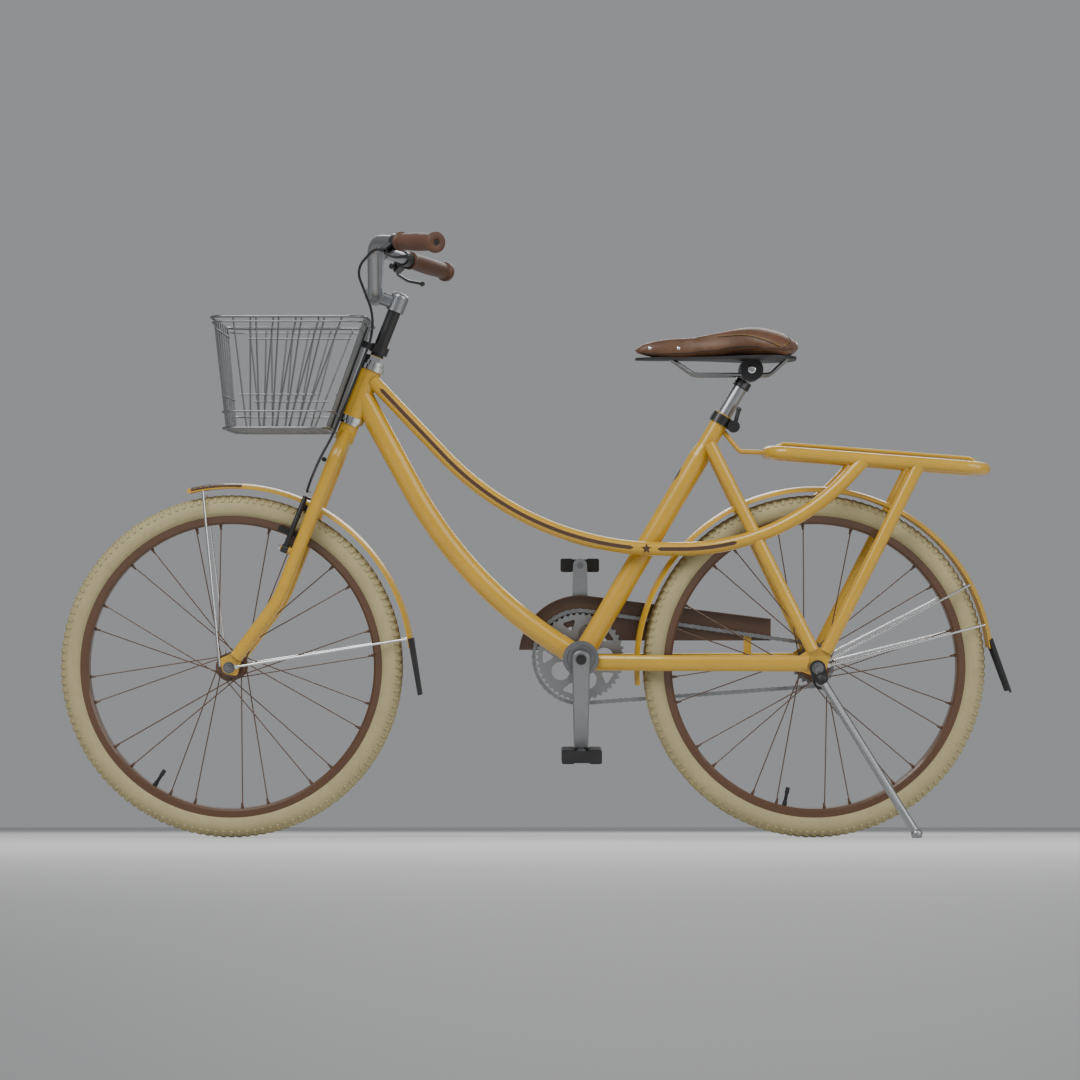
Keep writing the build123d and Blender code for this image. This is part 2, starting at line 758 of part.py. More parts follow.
def chain():
    """Two rows of side plates, drawn as closed bands, with a roller for each pitch."""
    face = chain_band(CHAIN_PLATE_HALF) - chain_band(-CHAIN_PLATE_HALF)
    plate = extrude(face, amount=CHAIN_PLATE)
    side = side_plane(REAR_AXLE)
    body = side * Pos(0, 0, -CHAIN_Y - CHAIN_HALF) * plate
    body += side * Pos(0, 0, -CHAIN_Y + CHAIN_HALF - CHAIN_PLATE) * plate
    low, high = CHAIN_Y - CHAIN_HALF + 0.1, CHAIN_Y + CHAIN_HALF - 0.1
    return body + [across(x, z, low, high, ROLLER_R - 0.2) for x, z in chain_points()]


def guard_hull(inset):
    """The guard's outer line in a side view about the rear axle, drawn down past its lower edge."""
    front = Pos(BB.X, BB.Z - WHEEL_R) * Circle(GUARD_R - inset)
    rear = Line((GUARD_REAR[0], GUARD_REAR[1] - inset), (GUARD_REAR[0], -60))
    return make_hull([*front.edges(), *rear.edges()])


def guard_trim():
    """What the outline loses: all below its edges, and a round opening about the crank."""
    bb_z = BB.Z - WHEEL_R
    below_front = Pos(BB.X, bb_z + 13 - 100) * Rectangle(900, 200)
    below_rear = Pos(BB.X + 300, GUARD_LOW - 100) * Rectangle(600, 200)
    return below_front + below_rear + Pos(BB.X, bb_z) * Circle(GUARD_OPENING_R)


def chain_guard():
    """A thin plate outside the chain, with a lip along its top that turns in over the chain."""
    at = side_plane(REAR_AXLE + Vector(0, CHAIN_Y + GUARD_OUT, 0))
    plate = extrude(guard_hull(0.0) - guard_trim(), amount=-GUARD_SHEET)
    lip = extrude(guard_hull(0.0) - guard_hull(GUARD_SHEET) - guard_trim(), amount=GUARD_LIP)
    return at * (plate + lip)


def chainring():
    """A toothed plate with five round windows and five three-sided ones between them."""
    plate = toothed(RING_TEETH, RING_THICK) - Cylinder(SPINDLE_R + 3, 40)
    for k in range(5):
        plate -= Rot(0, 0, 72 * k) * Pos(46, 0, 0) * Cylinder(17.5, 10)
        corners = [(50 * cos(radians(36)), 50 * sin(radians(36)))]
        corners += [(73 * cos(radians(36 + a)), 73 * sin(radians(36 + a))) for a in (-11, 11)]
        window = fillet(make_face(Polyline(*corners, close=True)).vertices(), 3.0)
        plate -= Rot(0, 0, 72 * k) * extrude(window, amount=5, both=True)
    return hub_plane(BB + Vector(0, CHAIN_Y, 0)) * plate


def crank_arm():
    """The right arm, up: it narrows from the spindle to the pedal."""
    outline = make_hull(
        [*Circle(17).edges(), *(Pos(0, CRANK_LENGTH) * Circle(13.5)).edges()]
    )
    arm = extrude(outline, amount=CRANK_THICK)
    arm = chamfer(arm.faces().sort_by(Axis.Z)[-1].edges(), 2.5)
    arm -= Cylinder(SPINDLE_R, 60)
    arm -= Pos(0, CRANK_LENGTH, 0) * Cylinder(PEDAL_AXLE_R + 1.5, 60)
    return arm


def crank_arms():
    """The right arm with its boss to the chainring, and the left arm opposite."""
    right_at = Plane(origin=BB + Vector(0, CRANK_INNER_Y, 0), x_dir=(-1, 0, 0), z_dir=(0, 1, 0))
    left_at = Plane(origin=BB - Vector(0, CRANK_INNER_Y, 0), x_dir=(-1, 0, 0), z_dir=(0, -1, 0))
    right = right_at * (crank_arm() + ring(24, SPINDLE_R, CHAIN_Y + RING_THICK / 2 - CRANK_INNER_Y, 0))
    left = left_at * crank_arm()
    return [right, left]


def crank_spindle():
    """The spindle with a dust cap at each end."""
    end = CRANK_INNER_Y + CRANK_THICK
    body = hub_plane(BB) * disc(SPINDLE_R, -end, end)
    cap = hub_plane(BB) * disc(11, end, end + 3)
    return [body, cap, mirrored(cap)]


def pedal_centre(side):
    """Right is up, left is down."""
    return BB + Vector(0, side * (CRANK_INNER_Y + CRANK_THICK), side * CRANK_LENGTH)


def pedal_axle(side):
    at = Plane(origin=pedal_centre(side), x_dir=(1, 0, 0), z_dir=(0, side, 0))
    body = disc(PEDAL_AXLE_R + 1.5, -CRANK_THICK, 0) + disc(9, 0, 6)
    return at * (body + disc(PEDAL_AXLE_R, 6, PEDAL_LENGTH))


def pedal(side):
    """A block pedal: a core tube, two ribbed treads and the cage plates at both ends."""
    at = Plane(origin=pedal_centre(side), x_dir=(1, 0, 0), z_dir=(0, side, 0))
    low, high = 8.0, 8.0 + PEDAL_LENGTH
    body = disc(PEDAL_CORE_R, low, high)
    plate = Rectangle(PEDAL_WIDTH, PEDAL_THICK - 4) - Circle(PEDAL_CORE_R)
    for z in (low, high - PEDAL_PLATE):
        body += Pos(0, 0, z) * extrude(plate, amount=PEDAL_PLATE)
    body += pedal_tread(-1, low, high)
    body += pedal_tread(1, low, high)
    body -= disc(PEDAL_AXLE_R + RUNNING, 0, PEDAL_LENGTH + RUNNING + 0.5)
    return at * body


def pedal_tread(side, low, high):
    """A rubber block in front of or behind the pedal's core, grooved above and below."""
    wide = 24.0
    x = side * (PEDAL_WIDTH - wide) / 2
    block = Pos(x, 0, (low + high) / 2) * Box(wide, PEDAL_THICK, PEDAL_LENGTH - 2 * PEDAL_PLATE)
    block = fillet(block.edges().filter_by(Axis.Z), 4.0)
    for k in range(PEDAL_GROOVES):
        z = low + 16 + k * (PEDAL_LENGTH - 32) / (PEDAL_GROOVES - 1)
        for face in (-1, 1):
            block -= Pos(x, face * PEDAL_THICK / 2, z) * Box(wide + 6, 4, 6)
    return block


# ---------------------------------------------------------------- fork and handlebar


def fork():
    """Steerer, crown and two curved blades with their axle plates, welded in one."""
    x = FORK_RAKE
    bore = Pos(x, 0, 0) * disc(QUILL_R, CROWN_Z - 30, CROWN_Z)
    steerer = Pos(x, 0, 0) * ring(STEERER_R, QUILL_R, CROWN_Z - 30, HEAD_TOP + 18)
    crown = Pos(x, 0, 0) * disc(CROWN_R, CROWN_Z - 34, CROWN_Z) - bore
    foot = (5, -FORK_DROPOUT_Y - DROPOUT_THICK / 2, 22)
    points = [(x, -6, CROWN_Z - 16), (x, -BLADE_Y, CROWN_Z - 60), (x, -BLADE_Y, 150), foot]
    bends = [34, 220]
    blade = bar(points, BLADE_R, bends) - bar(points, BLADE_R - BLADE_WALL, bends)
    eyes = [Pos(-15, 8) * Circle(6), Pos(14, -4) * Circle(6), Pos(*FORK_PLATE_EYE) * Circle(9)]
    outline = make_hull([*Circle(13).edges(), *[edge for eye in eyes for edge in eye.edges()]])
    plate = Rot(90, 0, 0) * Pos(0, 0, FORK_DROPOUT_Y) * extrude(outline, amount=DROPOUT_THICK)
    blade = blade - plate - Rot(90, 0, 0) * Cylinder(22, 200)
    pivot = brake_pivot()
    half = blade + plate + pivot * disc(6.5, 0, 8) + pivot * disc(BRAKE_PIN_R, 7, 24) - bore
    body = steerer + crown + half + mirrored(half)
    return STEER * (body - Rot(90, 0, 0) * Cylinder(FRONT_AXLE_R, 200))


def brake_pivot():
    """At the front of the left blade: z runs forwards along the brake's pin."""
    return Pos(FORK_RAKE - BLADE_R + 2, -BRAKE_Y, BRAKE_PIVOT_Z) * Rot(0, -90, 0)


def headset_races():
    """The crown race, and the adjusting race with its locknut above the head tube."""
    crown_race = ring(HEAD_RACE_R, STEERER_R, CROWN_Z, HEAD_LOW - APART)
    top_race = ring(HEAD_RACE_R, STEERER_R, HEAD_TOP + APART, HEAD_TOP + 8)
    nut = extrude(RegularPolygon(HEAD_RACE_R, 6) - Circle(STEERER_R), amount=9)
    return [on_steering(crown_race), on_steering(top_race), on_steering(Pos(0, 0, HEAD_TOP + 8) * nut)]


def front_axle():
    body = hub_plane(FRONT_AXLE) * disc(FRONT_AXLE_R, -70, 70)
    outside = FORK_DROPOUT_Y + DROPOUT_THICK
    left = axle_nuts(FRONT_AXLE, outside, FRONT_AXLE_R, -1)
    return [body, *left, *axle_nuts(FRONT_AXLE, outside, FRONT_AXLE_R, 1)]


def axle_nuts(axle, from_y, radius, side):
    """A washer and a hexagon nut on one end of an axle."""
    at = Plane(origin=axle + Vector(0, side * from_y, 0), x_dir=(1, 0, 0), z_dir=(0, side, 0))
    washer = ring(WASHER_R, radius, 0, WASHER_THICK)
    nut = Pos(0, 0, WASHER_THICK) * extrude(RegularPolygon(NUT_R, 6) - Circle(radius), amount=NUT_TALL)
    return [at * washer, at * nut]


def rear_axle():
    """The axle with a spacer inside each plate, and a washer and nut outside."""
    body = disc(REAR_AXLE_R, -92, 84)
    body += disc(REAR_SPACER_R, -REAR_DROPOUT_Y, -REAR_FLANGE_Y - 7 - APART)
    body += disc(REAR_SPACER_R, CHAIN_Y + 8 + APART, REAR_DROPOUT_Y)
    outside = REAR_DROPOUT_Y + DROPOUT_THICK
    left = axle_nuts(REAR_AXLE, outside + STAND_PLATE, REAR_AXLE_R, -1)
    return [hub_plane(REAR_AXLE) * body, *left, *axle_nuts(REAR_AXLE, outside, REAR_AXLE_R, 1)]


def stem_quill():
    """A thick tube down inside the steerer, closed at the top."""
    body = disc(QUILL_R, HEAD_LOW + 10, QUILL_TOP)
    return on_steering(body - disc(QUILL_R - QUILL_WALL, HEAD_LOW, QUILL_TOP - 10))


def bar_clamp_centre():
    return in_steer(FORK_RAKE - STEM_REACH, 0, STEM_RISE)


def stem():
    """A forged head: a domed cap on the quill, reaching forwards to the handlebar clamp."""
    x, top = FORK_RAKE, STEM_RISE + 22
    socket = Pos(x, 0, 0) * disc(STEM_HEAD_R, QUILL_TOP - 2, top)
    socket = fillet(socket.edges().sort_by(Axis.Z)[-1], 9)
    reach = Pos(x - STEM_REACH / 2, 0, STEM_RISE) * Box(STEM_REACH, STEM_TALL, STEM_TALL)
    reach = fillet(reach.edges().filter_by(Axis.X), 8)
    clamp_at = Pos(x - STEM_REACH, 0, STEM_RISE) * Rot(90, 0, 0)
    clamp = clamp_at * chamfer(disc(18, -20, 20).edges(), 2)
    body = socket + reach + clamp - clamp_at * Cylinder(BAR_CLAMP_R, 80)
    body -= Pos(x, 0, 0) * disc(QUILL_R, QUILL_TOP - 30, QUILL_TOP)
    return STEER * (body - Pos(x, 0, top) * Cylinder(5.5, 6))


def handlebar_points():
    centre = bar_clamp_centre()
    base = Vector(centre.X, BAR_BASE_Y, centre.Z)
    right = [Vector(*BAR_END), Vector(*BAR_BEND), base]
    left = [Vector(p.X, -p.Y, p.Z) for p in reversed(right)]
    return right + left


def handlebar():
    """A tube that rises from the clamp and sweeps back to the grips."""
    bends = [42, 20, 20, 42]
    outer = bar(handlebar_points(), BAR_R, bends)
    inner = bar(handlebar_points(), BAR_R - TUBE_WALL, bends)
    sleeve = hub_plane(bar_clamp_centre()) * ring(BAR_CLAMP_R, BAR_R - 0.9, -24, 24)
    return outer - inner + sleeve


def grip_plane(side=-1):
    """At a bar end: z runs inwards along the bar, x points forwards and down."""
    end = Vector(BAR_END[0], side * BAR_END[1], BAR_END[2])
    bend = Vector(BAR_BEND[0], side * BAR_BEND[1], BAR_BEND[2])
    inwards = (bend - end).normalized()
    ahead = Vector(-0.86, 0, -0.51)
    ahead = (ahead - inwards * ahead.dot(inwards)).normalized()
    return Plane(origin=end, x_dir=ahead, z_dir=inwards)


def grips():
    """Two sleeves with a flange at each end, closed over the ends of the bar."""
    body = disc(GRIP_R, 0, GRIP_LENGTH) + disc(GRIP_R + 3.5, -3, 3)
    body += disc(GRIP_R + 3, GRIP_LENGTH - 4, GRIP_LENGTH)
    body -= disc(BAR_R, 0, GRIP_LENGTH)
    return pair(grip_plane() * body)


def brake_lever_clamps():
    """A band round the bar with the two-eared housing of the lever."""
    x, z = LEVER_PIVOT
    band = ring(BAR_R + 3.2, BAR_R, z - 9, z + 9)
    neck = Pos(BAR_R + 4.6, 0, z) * Box(5.6, 14, 18) - disc(BAR_R + 1, z - 12, z + 12)
    ears = Pos(x, 0, z) * Box(16, 16, 20) - Pos(x + 2, 0, z) * Box(14, 8, 24)
    pin = Pos(x + 1, 0, z) * Rot(90, 0, 0) * disc(LEVER_PIN_R, -8, 8)
    barrel = Pos(x + 2, 0, z + 6) * disc(5.5, 0, 14)
    return pair(grip_plane() * (band + neck + ears + pin + barrel))


def brake_lever(side):
    """A lever: an eye on the pin and a blade that follows the grip."""
    x, z = LEVER_PIVOT[0] + 1, LEVER_PIVOT[1]
    tip = (x + LEVER_TIP[0], z - LEVER_TIP[1])
    eye = Pos(x, 0, z) * Rot(90, 0, 0) * disc(LEVER_PIN_R + 2.5, -3.6, 3.6)
    blade_route = [(x, z), (x + 16, z - 18), (x + 24, z - 60), tip]
    blade = bar([(a, 0, b) for a, b in blade_route], LEVER_BLADE_R, [14, 60])
    body = eye + blade + Pos(tip[0], 0, tip[1]) * Sphere(LEVER_BLADE_R + 2.4)
    body -= Pos(x, 0, z) * Rot(90, 0, 0) * disc(LEVER_PIN_R + RUNNING, -10, 10)
    return grip_plane(side) * body


def brake_arm():
    """The left arm: an eye on the fork's pin, the long arm and the brake block by the rim."""
    near, far = 8.4, 21.0
    x, y, z = brake_arm_x(), -BRAKE_Y, BRAKE_BLOCK_Z
    eye = brake_pivot() * disc(8, near, far)
    arm_route = [(x, y, BRAKE_PIVOT_Z), (x, y, BRAKE_PIVOT_Z + 50), (x, -34, BRAKE_TOP_Z)]
    arm = bar(arm_route, BRAKE_ARM_R, [60])
    holder = rod((x, y, z), (x, -RIM_HALF_WIDTH - 9.6, z), 3.4)
    block = Pos(x - 4, -RIM_HALF_WIDTH - 6.4, z) * Box(46, 7, 10)
    block = fillet(block.edges().filter_by(Axis.Y), 3)
    body = eye + arm + holder + block - brake_pivot() * disc(BRAKE_PIN_R + RUNNING, -60, 60)
    return STEER * body


def brake_arm_x():
    """How far behind the front axle's line the brake arms stand, along the fork's local x."""
    return FORK_RAKE - BLADE_R + 2 - 14.7


def front_brake_cable():
    """The housing from the left lever down behind the basket to the brake, and the bare wire."""
    lever_end = grip_plane().from_local_coords(Vector(LEVER_PIVOT[0] + 3, 0, LEVER_PIVOT[1] + 20))
    inwards = grip_plane().z_dir
    first = lever_end + inwards * 30
    top_x, top_z = brake_arm_x(), BRAKE_TOP_Z + 10
    points = [
        lever_end,
        first,
        first + Vector(-34, 26, -34),
        in_steer(20.5, -35, 705),
        in_steer(21, -31, 600),
        in_steer(20.5, -35, 480),
        in_steer(top_x, -52, 430),
        in_steer(top_x, -66, 385),
        in_steer(top_x, -50, top_z),
        in_steer(top_x, -36, top_z),
    ]
    housing = bar(points, CABLE_R, cable_bends(points))
    wire = rod(in_steer(top_x, -36, top_z), in_steer(top_x, 34, top_z), CABLE_WIRE_R)
    return [housing, wire]


def cable_bends(points):
    """As large an arc at each corner as its two runs allow."""
    bends = []
    for before, corner, after in zip(points, points[1:], points[2:]):
        turn = (corner - before).get_angle(after - corner)
        shorter = min((corner - before).length, (after - corner).length)
        bends.append(0.45 * shorter / tan(radians(turn) / 2))
    return bends


# ---------------------------------------------------------------- seat


def clamp_centre():
    return in_seat(0, 0, SEAT_TUBE + SEATPOST_EXPOSED)


def seatpost():
    """The post, with the cross pin that the saddle clamp turns on."""
    top = SEAT_TUBE + SEATPOST_EXPOSED
    shoulder = top - CLAMP_DISC_R - 2
    post = ring(SEATPOST_R, SEATPOST_R - SEATPOST_WALL, top - SEATPOST_LENGTH, top - SEATPOST_HEAD)
    post += disc(SEATPOST_HEAD_R, top - SEATPOST_HEAD, shoulder) + disc(8.8, shoulder, top)
    pin = hub_plane(clamp_centre()) * disc(CLAMP_PIN_R, -CLAMP_HALF - 0.5, CLAMP_HALF + 0.5)
    return SEAT * post + hub_plane(clamp_centre()) * disc(9.5, -9, 9) + pin


def rail_z():
    return clamp_centre().Z - RAIL_DROP


def saddle_rails():
    """Two rails, close together at the nose and apart at the tail."""
    x, z = clamp_centre().X, rail_z()
    points = [
        (x - 154, -8, SADDLE_LOW_Z - 1),
        (x - 108, -RAIL_Y, z),
        (x + 36, -RAIL_Y, z),
        (x + 70, -RAIL_Y - 16, SADDLE_LOW_Z - 1),
    ]
    rail = bar(points, RAIL_R, [24, 20])
    rail -= Pos(x, 0, SADDLE_LOW_Z - SADDLE_BASE + 50) * Box(900, 900, 100)
    return pair(rail)


def saddle_clamp():
    """Two round blocks that grip the rails and turn on the seatpost's pin."""
    x = clamp_centre().X
    block = disc(CLAMP_DISC_R, -CLAMP_HALF, -9 - APART) - disc(CLAMP_PIN_R + RUNNING, -40, 0)
    block = hub_plane(clamp_centre()) * block
    block -= rod((x - 60, -RAIL_Y, rail_z()), (x + 30, -RAIL_Y, rail_z()), RAIL_R)
    block -= Pos(x, 0, SADDLE_LOW_Z - SADDLE_BASE + 50) * Box(200, 200, 100)
    return pair(block)


def saddle_plan(inset=0.0):
    """The outline from above: a slim nose that spreads to a broad tail."""
    nose, tail, wide = SADDLE_NOSE_X + inset, SADDLE_TAIL_X - inset, SADDLE_HALF_WIDTH - inset
    length = tail - nose
    side = [
        (nose, 0),
        (nose + 0.05 * length, -20 + inset / 2),
        (nose + 0.3 * length, -28 + inset / 2),
        (nose + 0.52 * length, -0.52 * wide),
        (nose + 0.8 * length, -wide),
        (tail - 0.03 * length, -0.62 * wide),
        (tail, 0),
    ]
    whole = side + [(x, -y) for x, y in reversed(side[1:-1])]
    return make_face(Spline(*whole, periodic=True))


def saddle_cover():
    """The padded cover as one closed solid of its outer shape."""
    low, high = SADDLE_LOW_Z, SADDLE_TOP_Z
    nose, tail = SADDLE_NOSE_X, SADDLE_TAIL_X
    length = tail - nose
    block = Pos(0, 0, low) * extrude(saddle_plan(), amount=high - low)
    crown = [
        (nose - 1, low + 12),
        (nose + 0.13 * length, high - 26),
        (nose + 0.36 * length, high - 21),
        (nose + 0.56 * length, high - 8),
        (nose + 0.72 * length, high - 1),
        (nose + 0.89 * length, high - 11),
        (tail + 1, low + 15),
    ]
    base = Polyline(crown[-1], (tail + 1, low), (nose - 1, low), crown[0])
    profile = make_face([Spline(*crown), base])
    side = Plane.XZ * profile
    return block & extrude(side, amount=150, both=True)


def saddle_base():
    """The stiff shell under the cover."""
    return Pos(0, 0, SADDLE_LOW_Z - SADDLE_BASE) * extrude(saddle_plan(10.0), amount=SADDLE_BASE)


# ---------------------------------------------------------------- basket


def basket_corner(level, i, j):
    """A corner of the basket: level 0 low, 1 top; i 0 front, 1 rear; j -1 left, 1 right."""
    (f0, r0, w0), (f1, r1, w1) = BASKET_LOW, BASKET_TOP
    x = (r0 if i else f0) + level * ((r1 if i else f1) - (r0 if i else f0))
    w = w0 + level * (w1 - w0)
    z = BASKET_LOW_Z + level * (BASKET_TOP_Z - BASKET_LOW_Z)
    return Vector(x, j * w, z)


def basket_loop(level, radius, out=0.0):
    """A rounded wire loop round the basket at a level, a little outside its walls."""
    rise = BASKET_TOP_Z - BASKET_LOW_Z
    flares = [abs(top - low) for top, low in zip(BASKET_TOP, BASKET_LOW)]
    ahead, behind, aside = [1.005 * out * hypot(flare, rise) / rise for flare in flares]
    front = basket_corner(level, 0, -1) + Vector(-ahead, -aside, 0)
    rear = basket_corner(level, 1, -1) + Vector(behind, -aside, 0)
    middles = [Vector(front.X, 0, front.Z), Vector(rear.X, 0, rear.Z)]
    bends = [BASKET_CORNER_R, BASKET_CORNER_R]
    half = bar([middles[0], front, rear, middles[1]], radius, bends)
    return half + mirrored(half)


def basket_rims():
    """The doubled rim, the low band and the floor's edge."""
    out = BASKET_WIRE_R + BASKET_RIM_R
    top = basket_loop(1.0, BASKET_RIM_R, out)
    second = basket_loop(0.955, BASKET_WIRE_R, 2 * BASKET_WIRE_R)
    band = basket_loop(0.15, BASKET_WIRE_R, 2 * BASKET_WIRE_R)
    edge = basket_loop(0.0, BASKET_RIM_R, out)
    return [top, second, band, edge]


def wall_wires(a_low, b_low, a_top, b_top, pairs):
    """One flat wall: wires that stand in pairs, wide at the top and close at the floor."""
    low_in = (b_low - a_low).normalized() * BASKET_CORNER_R
    top_in = (b_top - a_top).normalized() * BASKET_CORNER_R
    low_a, low_b = a_low + low_in, b_low - low_in
    top_a, top_b = a_top + top_in, b_top - top_in
    body = None
    for k in range(pairs):
        for low_share, top_share in ((0.36, 0.12), (0.64, 0.88)):
            low = low_a + (low_b - low_a) * ((k + low_share) / pairs)
            top = top_a + (top_b - top_a) * ((k + top_share) / pairs)
            wire = rod(low, top, BASKET_WIRE_R)
            body = wire if body is None else body + wire
    inwards = (low_b - low_a).cross(top_a - low_a).normalized()
    if inwards.dot(basket_middle() - low_a) < 0:
        inwards = inwards * -1
    behind = inwards * (0.8 * BASKET_WIRE_R)
    for level in (0.3, 0.9):
        a = low_a + (top_a - low_a) * level + behind
        b = low_b + (top_b - low_b) * level + behind
        body += rod(a, b, BASKET_WIRE_R)
    return body


def basket_middle():
    front, rear, _ = BASKET_LOW
    return Vector((front + rear) / 2, 0, (BASKET_LOW_Z + BASKET_TOP_Z) / 2)


def basket_wall(corners, pairs):
    (i0, j0), (i1, j1) = corners
    lows = [basket_corner(0.0, i0, j0), basket_corner(0.0, i1, j1)]
    tops = [basket_corner(1.0, i0, j0), basket_corner(1.0, i1, j1)]
    return wall_wires(lows[0], lows[1], tops[0], tops[1], pairs)


def basket_wall_wires():
    """Four flat walls, each welded up on its own."""
    sides = pair(basket_wall(((0, -1), (1, -1)), 5))
    return sides + [basket_wall(((0, -1), (0, 1)), 6), basket_wall(((1, -1), (1, 1)), 6)]


def basket_floor_wires():
    """The floor's grid, just above its edge wire."""
    front, rear, wide = BASKET_LOW
    z = BASKET_LOW_Z
    body = None
    rows = 7
    for k in range(rows):
        x = front + (rear - front) * (k + 1) / (rows + 1)
        wire = rod((x, -wide + 2, z), (x, wide - 2, z), BASKET_WIRE_R)
        body = wire if body is None else body + wire
    columns = 6
    for k in range(columns):
        y = -wide + 2 * wide * (k + 1) / (columns + 1)
        body += rod((front + 2, y, z), (rear - 2, y, z), BASKET_WIRE_R)
    return body


def basket_bracket():
    """A strip up the basket's back, and the arm that clamps it above the head tube."""
    low, top = basket_corner(0.0, 1, 0), basket_corner(1.0, 1, 0)
    along = (top - low).normalized()
    out = Vector(along.Z, 0, -along.X)
    start = low + out * (BASKET_WIRE_R + 1.7)
    plane = Plane(origin=start, x_dir=(0, 1, 0), z_dir=along)
    strip = plane * Pos(0, 0, (top - low).length / 2) * Box(42, 3, (top - low).length - 14)
    grip_z = HEAD_TOP + 24
    clamp = on_steering(ring(QUILL_R + 5, QUILL_R, grip_z, grip_z + 16))
    arm = on_steering(Pos(-31, 0, grip_z + 8) * Box(34, 26, 12))
    arm -= on_steering(disc(QUILL_R + 2, grip_z, grip_z + 30))
    body = strip + clamp + arm
    behind_wires = Plane(origin=low + out * (BASKET_WIRE_R + 0.2), x_dir=(0, 1, 0), z_dir=out * -1)
    body -= behind_wires * Pos(0, 0, 100) * Box(600, 900, 200)
    for loop in basket_rims():
        body -= loop
    return body


# ---------------------------------------------------------------- kickstand

def stand_pivot():
    return Vector(*STAND_PIVOT)


def stand_foot():
    """Where the foot meets the floor, once the bicycle has leaned onto it."""
    x, y = STAND_FOOT
    return Vector(x, y, -y * tan(radians(LEAN)) + 7.0)


def stand_axis():
    """The pivot's axis: it takes the leg from its deployed line to one beside the wheel."""
    down = (stand_foot() - stand_pivot()).normalized()
    folded = Vector(0.98, -0.10, 0.14).normalized()
    return down.cross(folded).normalized()


def stand_plane():
    """At the stand's pivot: z runs outwards to the left."""
    axis = stand_axis()
    return Plane(origin=stand_pivot(), z_dir=axis * -1 if axis.Y > 0 else axis)


def kickstand_bracket():
    """A plate held by the axle nut, with the stub that the leg turns on."""
    y = -(REAR_DROPOUT_Y + DROPOUT_THICK + STAND_PLATE / 2)
    outline = make_hull([*Circle(15).edges(), *(Pos(5, -27) * Circle(13)).edges()])
    plate = extrude(outline - Circle(REAR_AXLE_R), amount=STAND_PLATE / 2, both=True)
    body = side_plane(REAR_AXLE + Vector(0, y, 0)) * plate
    body += stand_plane() * disc(STAND_PIN_R, -14, 9)
    return body - Pos(0, y + STAND_PLATE, WHEEL_R) * Box(200, STAND_PLATE, 200)


def kickstand():
    """The leg: an eye on the stub, a long tapered rod and a bent foot."""
    at = stand_plane()
    pivot, foot = stand_pivot(), stand_foot()
    knee = pivot + (foot - pivot) * 0.86 + Vector(-4, 0, 6)
    leg = bar([pivot + at.z_dir * 3.5, knee, foot], STAND_R, [60])
    body = at * disc(STAND_EYE_R, -1.5, 8.5) + leg + Pos(*foot) * Sphere(STAND_R + 2.5)
    floor = Rot(-LEAN, 0, 0) * Pos(0, 0, -100 - floor_lift()) * Box(2000, 2000, 200)
    return body - at * disc(STAND_PIN_R + RUNNING, -30, 30) - floor


# ---------------------------------------------------------------- assembly


